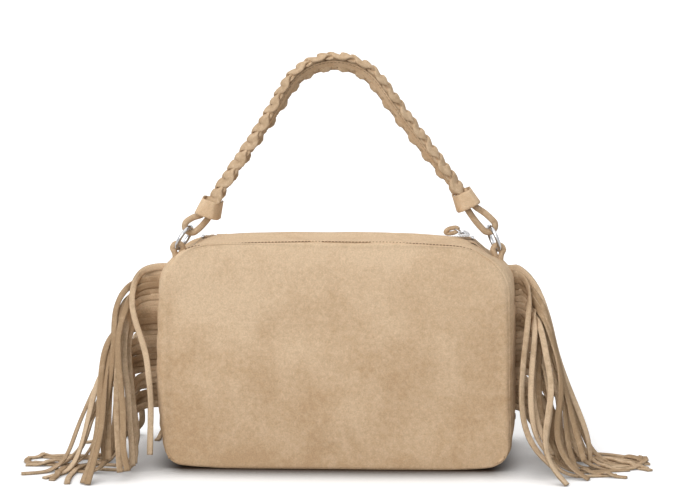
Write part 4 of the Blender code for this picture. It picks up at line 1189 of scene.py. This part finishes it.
def refinish(node, finish):
    """Gives a CAD node another material."""
    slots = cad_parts[node].data.materials
    slots.clear()
    slots.append(bpy.data.materials[finish])


# Stage

def build_floor(settings):
    """A floor that the camera and mirrors see paler than it lights, with a painted contact shadow that
    makes it darker under the bag.
    """
    tree, shade = new_material("Pale floor")
    path = tree.nodes.new("ShaderNodeLightPath").outputs
    seen = calculate(tree, "ADD", path["Is Camera Ray"], path["Is Glossy Ray"], clamp=True)
    open_air = add_node(tree, "ShaderNodeAmbientOcclusion", {"samples": 16},
                        {"Distance": settings.shadow_reach}).outputs["AO"]
    spot = add_node(tree, "ShaderNodeSeparateXYZ", inputs={"Vector": object_coords(tree)})
    smooth = {"interpolation_type": "SMOOTHSTEP"}
    aside = calculate(tree, "ABSOLUTE", spot.outputs["X"])
    # Painted shadow: weaker beside the bag, by the floor's place across
    weaker_aside = map_value(tree, aside, (0.122, 0.155), (0.0, 0.55), smooth)
    contact = map_value(tree, open_air, (0.48, 0.97), (weaker_aside, 1.0), smooth)
    shadow = mix_colours(tree, contact, tinted(settings.shadow), tinted((1, 1, 1), 0.96))
    bounce = tinted((1, 1, 1), settings.floor_bounce)
    shade(base_color=mix_colours(tree, seen, bounce, shadow), roughness=0.9, specular=0.1)
    lift = calculate(tree, "MULTIPLY", calculate(tree, "MULTIPLY", seen, contact), settings.floor_lift)
    glow = add_node(tree, "ShaderNodeEmission", inputs={"Strength": lift})
    both = add_node(tree, "ShaderNodeAddShader", inputs={
        0: tree.nodes["Principled BSDF"].outputs["BSDF"], 1: glow.outputs["Emission"]})
    tree.links.new(both.outputs["Shader"], tree.nodes["Material Output"].inputs["Surface"])
    mesh = bpy.data.meshes.new("floor")
    bm = bmesh.new()
    bmesh.ops.create_grid(bm, x_segments=1, y_segments=1, size=FLOOR_HALF_SIZE)
    bm.to_mesh(mesh)
    bm.free()
    mesh.materials.append(bpy.data.materials["Pale floor"])
    floor = bpy.data.objects.new("floor", mesh)
    bpy.context.scene.collection.objects.link(floor)


def build_world(settings):
    """Soft light from all round. Seen straight, in mirrors or through glass it is plain white."""
    world = bpy.data.worlds.new("studio")
    world.use_nodes = True
    tree = world.node_tree
    tree.nodes.clear()
    path = tree.nodes.new("ShaderNodeLightPath").outputs
    mirrored = calculate(tree, "ADD", path["Is Glossy Ray"], path["Is Transmission Ray"])
    seen = calculate(tree, "ADD", path["Is Camera Ray"], mirrored, clamp=True)
    strength = map_value(tree, seen, to_range=(settings.world_light, 1.0))
    sky = add_node(tree, "ShaderNodeBackground", inputs={"Color": (1, 1, 1, 1), "Strength": strength})
    add_node(tree, "ShaderNodeOutputWorld", inputs={"Surface": sky.outputs["Background"]})
    bpy.context.scene.world = world


def aim(thing, source):
    """Points a light or a camera from its side of the bag towards it."""
    thing.rotation_euler = source.to_track_quat("Z", "Y").to_euler()
    bpy.context.scene.collection.objects.link(thing)


def build_lights(settings):
    for name, source, energy, softness in (("key", (-0.5, -1.0, 0.55), settings.key_light, 50),
                                           ("fill", (0.0, -1.0, 0.02), settings.fill_light, 60),
                                           ("overhead", (0.0, 0.1, 1.0), settings.top_light, 110)):
        data = bpy.data.lights.new(name, "SUN")
        data.energy = energy
        data.angle = math.radians(softness)
        aim(bpy.data.objects.new(name, data), Vector(source))


def build_camera(settings):
    scene = bpy.context.scene
    scene.view_settings.view_transform = "Standard"
    data = bpy.data.cameras.new("camera")
    data.lens = settings.lens
    data.clip_end = 100
    camera = bpy.data.objects.new("camera", data)
    swing, rise = settings.swing, settings.rise
    toward = Vector((math.sin(swing) * math.cos(rise), -math.cos(swing) * math.cos(rise),
                     math.sin(rise)))
    camera.location = Vector(settings.target) + toward * settings.distance
    aim(camera, toward)
    scene.camera = camera


# Settings, operators and panel

def length_property(name, description, default, low=0.0, high=1.0):
    return FloatProperty(name=name, description=description, default=default, min=low, max=high,
                         precision=4, unit="LENGTH")


def angle_property(name, description, degrees):
    return FloatProperty(name=name, description=description, default=math.radians(degrees),
                         unit="ROTATION")


def amount_property(name, description, default):
    return FloatProperty(name=name, description=description, default=default, min=0)


def colour_property(name, description, default):
    return FloatVectorProperty(name=name, description=description, default=default, subtype="COLOR",
                               size=3, min=0, max=1)


class BagColourSettings(PropertyGroup):
    # Lit and shaded copies of the suede's colour: painted light and shade, with the nap's blotches mixed
    # between them
    lit_pile: colour_property("Lit pile", "Suede brushed towards the light", (0.70, 0.522, 0.348))
    brushed_pile_in_shade: colour_property("Brushed pile", "Suede brushed away from the light",
                                  (0.518, 0.348, 0.204))
    seam_thread: colour_property("Seam thread", "Thread of the top seams", (0.22, 0.135, 0.075))
    band_thread: colour_property("Band thread", "Thread of the handle's band", (0.42, 0.28, 0.165))
    zip_tape: colour_property("Zip tape", "Woven tape", (0.55, 0.40, 0.265))
    zip_coil: colour_property("Zip coil", "Plastic coil", (0.58, 0.42, 0.28))
    lining: colour_property("Lining", "Lining cloth", (0.30, 0.20, 0.12))
    board: colour_property("Board", "Base board", (0.03, 0.024, 0.018))
    metal: colour_property("Metal", "Rings, slider and stops", (0.47, 0.47, 0.48))


class BagBodySettings(PropertyGroup):
    edge_roll: length_property("Edge roll", "Radius of the turned edges round the panels", 0.007)
    crown: length_property("Crown", "How far the panels swell at their middle", 0.006)
    slack: length_property("Slack", "Depth of the slow hollows", 0.0015)
    pucker: length_property("Pucker", "Depth of the puckers beside the seams", 0.0016)
    stitch_length: length_property("Stitch length", "Length of a stitch", 0.002, 0.0005)
    stitch_gap: length_property("Stitch gap", "Room between stitches", 0.0007)
    detail: IntProperty(name="Detail", description="Faces along each edge of the body", default=76,
                        min=16, max=160)


class BagZipSettings(PropertyGroup):
    tooth_pitch: length_property("Coil pitch", "Distance between turns of the coil", 0.0013, 0.0005, 0.004)


class BagHandleSettings(PropertyGroup):
    strand_width: length_property("Strand width", "Width of the plait's wider strands", 0.0104)
    strand_thickness: length_property("Strand thickness", "Thickness of the plait's wider strands", 0.0034)
    band_width: length_property("Band width", "Width of the backing band", 0.0126)


class BagFringeSettings(PropertyGroup):
    strip_width: length_property("Strip width", "Width of a strip", 0.0047)
    strip_thickness: length_property("Strip thickness", "Thickness of the suede", 0.0015)
    clearance: length_property("Clearance", "Least distance between the middles of two strips", 0.0034)


class BagStageSettings(PropertyGroup):
    lens: FloatProperty(name="Lens", description="Focal length", default=110.12, unit="CAMERA")
    distance: length_property("Distance", "From the camera to the bag", 1.7, 0.1, 100.0)
    rise: angle_property("Rise", "Height of the view", 8.5)
    swing: angle_property("Swing", "Turn of the view to the right", 2.0)
    target: FloatVectorProperty(name="Target", description="Point that the camera looks at",
                                default=(0.002, 0.0, 0.172), unit="LENGTH")
    world_light: amount_property("World light", "Strength of the light from all round", 0.19)
    key_light: amount_property("Key light", "Strength of the main light", 1.68)
    fill_light: amount_property("Fill light", "Strength of the second light", 0.6)
    top_light: amount_property("Top light", "Strength of the wide light overhead", 1.8)
    floor_bounce: amount_property("Floor bounce", "Share of the light that the floor throws back", 0.38)
    floor_lift: amount_property("Floor lift", "How much paler the floor is seen than lit", 0.22)
    shadow: colour_property("Shadow", "The floor right under the bag", (0.055, 0.035, 0.022))
    shadow_reach: length_property("Shadow reach", "How far the contact shadow spreads", 0.056)


class HANDBAG_OT_materials(Operator):
    """Makes the suedes, thread, tape, lining and metal"""

    bl_idname = "handbag.materials"
    bl_label = "Materials"

    def execute(self, context):
        build_materials(context.scene.bag_colours)
        return {"FINISHED"}


class HANDBAG_OT_body(Operator):
    """Builds the soft suede body with its stitched top seams"""

    bl_idname = "handbag.body"
    bl_label = "Body"

    def execute(self, context):
        build_body(context.scene.bag_body)
        return {"FINISHED"}


class HANDBAG_OT_inside(Operator):
    """Finishes the lining and the base board"""

    bl_idname = "handbag.inside"
    bl_label = "Inside"

    def execute(self, context):
        refinish("lining", "Lining cloth")
        refinish("base_board", "Fibre board")
        return {"FINISHED"}


class HANDBAG_OT_zip(Operator):
    """Builds the zip: tapes, coils, stops, slider, ring and pull"""

    bl_idname = "handbag.zip"
    bl_label = "Zip"

    def execute(self, context):
        build_zip(context.scene.bag_zip)
        return {"FINISHED"}


class HANDBAG_OT_tabs_and_rings(Operator):
    """Builds the shoulder tabs and the metal rings"""

    bl_idname = "handbag.tabs_and_rings"
    bl_label = "Tabs and rings"

    def execute(self, context):
        build_tabs_and_rings()
        return {"FINISHED"}


class HANDBAG_OT_handle(Operator):
    """Builds the plait, its backing band, the wraps and the loops"""

    bl_idname = "handbag.handle"
    bl_label = "Handle"

    def execute(self, context):
        build_plait(context.scene.bag_handle)
        build_band(context.scene.bag_handle)
        build_keepers()
        build_handle_loops()
        return {"FINISHED"}


class HANDBAG_OT_fringe(Operator):
    """Builds the fringe in both side seams"""

    bl_idname = "handbag.fringe"
    bl_label = "Fringe"

    def execute(self, context):
        for side in SIDES:
            build_fringe(side, context.scene.bag_fringe)
        return {"FINISHED"}


class HANDBAG_OT_stage(Operator):
    """Sets up the floor, the light and the camera"""

    bl_idname = "handbag.stage"
    bl_label = "Stage"

    def execute(self, context):
        for build in (build_floor, build_world, build_lights, build_camera):
            build(context.scene.bag_stage)
        return {"FINISHED"}


GROUPS = {"bag_colours": BagColourSettings, "bag_body": BagBodySettings, "bag_zip": BagZipSettings,
          "bag_handle": BagHandleSettings, "bag_fringe": BagFringeSettings, "bag_stage": BagStageSettings}
OPERATORS = (HANDBAG_OT_materials, HANDBAG_OT_body, HANDBAG_OT_inside, HANDBAG_OT_zip,
             HANDBAG_OT_tabs_and_rings, HANDBAG_OT_handle, HANDBAG_OT_fringe, HANDBAG_OT_stage)


class HANDBAG_PT_build(Panel):
    bl_label = "Fringed handbag"
    bl_space_type = "VIEW_3D"
    bl_region_type = "UI"
    bl_category = "Handbag"

    def draw(self, context):
        for name, group in GROUPS.items():
            box = self.layout.box()
            for prop in group.__annotations__:
                box.prop(getattr(context.scene, name), prop)
        for operator in OPERATORS:
            self.layout.operator(operator.bl_idname)


CLASSES = (*GROUPS.values(), *OPERATORS, HANDBAG_PT_build)


def register():
    for made in CLASSES:
        bpy.utils.register_class(made)
    for name, group in GROUPS.items():
        setattr(bpy.types.Scene, name, PointerProperty(type=group))


def unregister():
    for name in GROUPS:
        delattr(bpy.types.Scene, name)
    for made in reversed(CLASSES):
        bpy.utils.unregister_class(made)


def main():
    register()
    bpy.ops.handbag.materials()
    bpy.ops.handbag.body()
    bpy.ops.handbag.inside()
    bpy.ops.handbag.zip()
    bpy.ops.handbag.tabs_and_rings()
    bpy.ops.handbag.handle()
    bpy.ops.handbag.fringe()
    bpy.ops.handbag.stage()


if __name__ == "__main__":
    main()
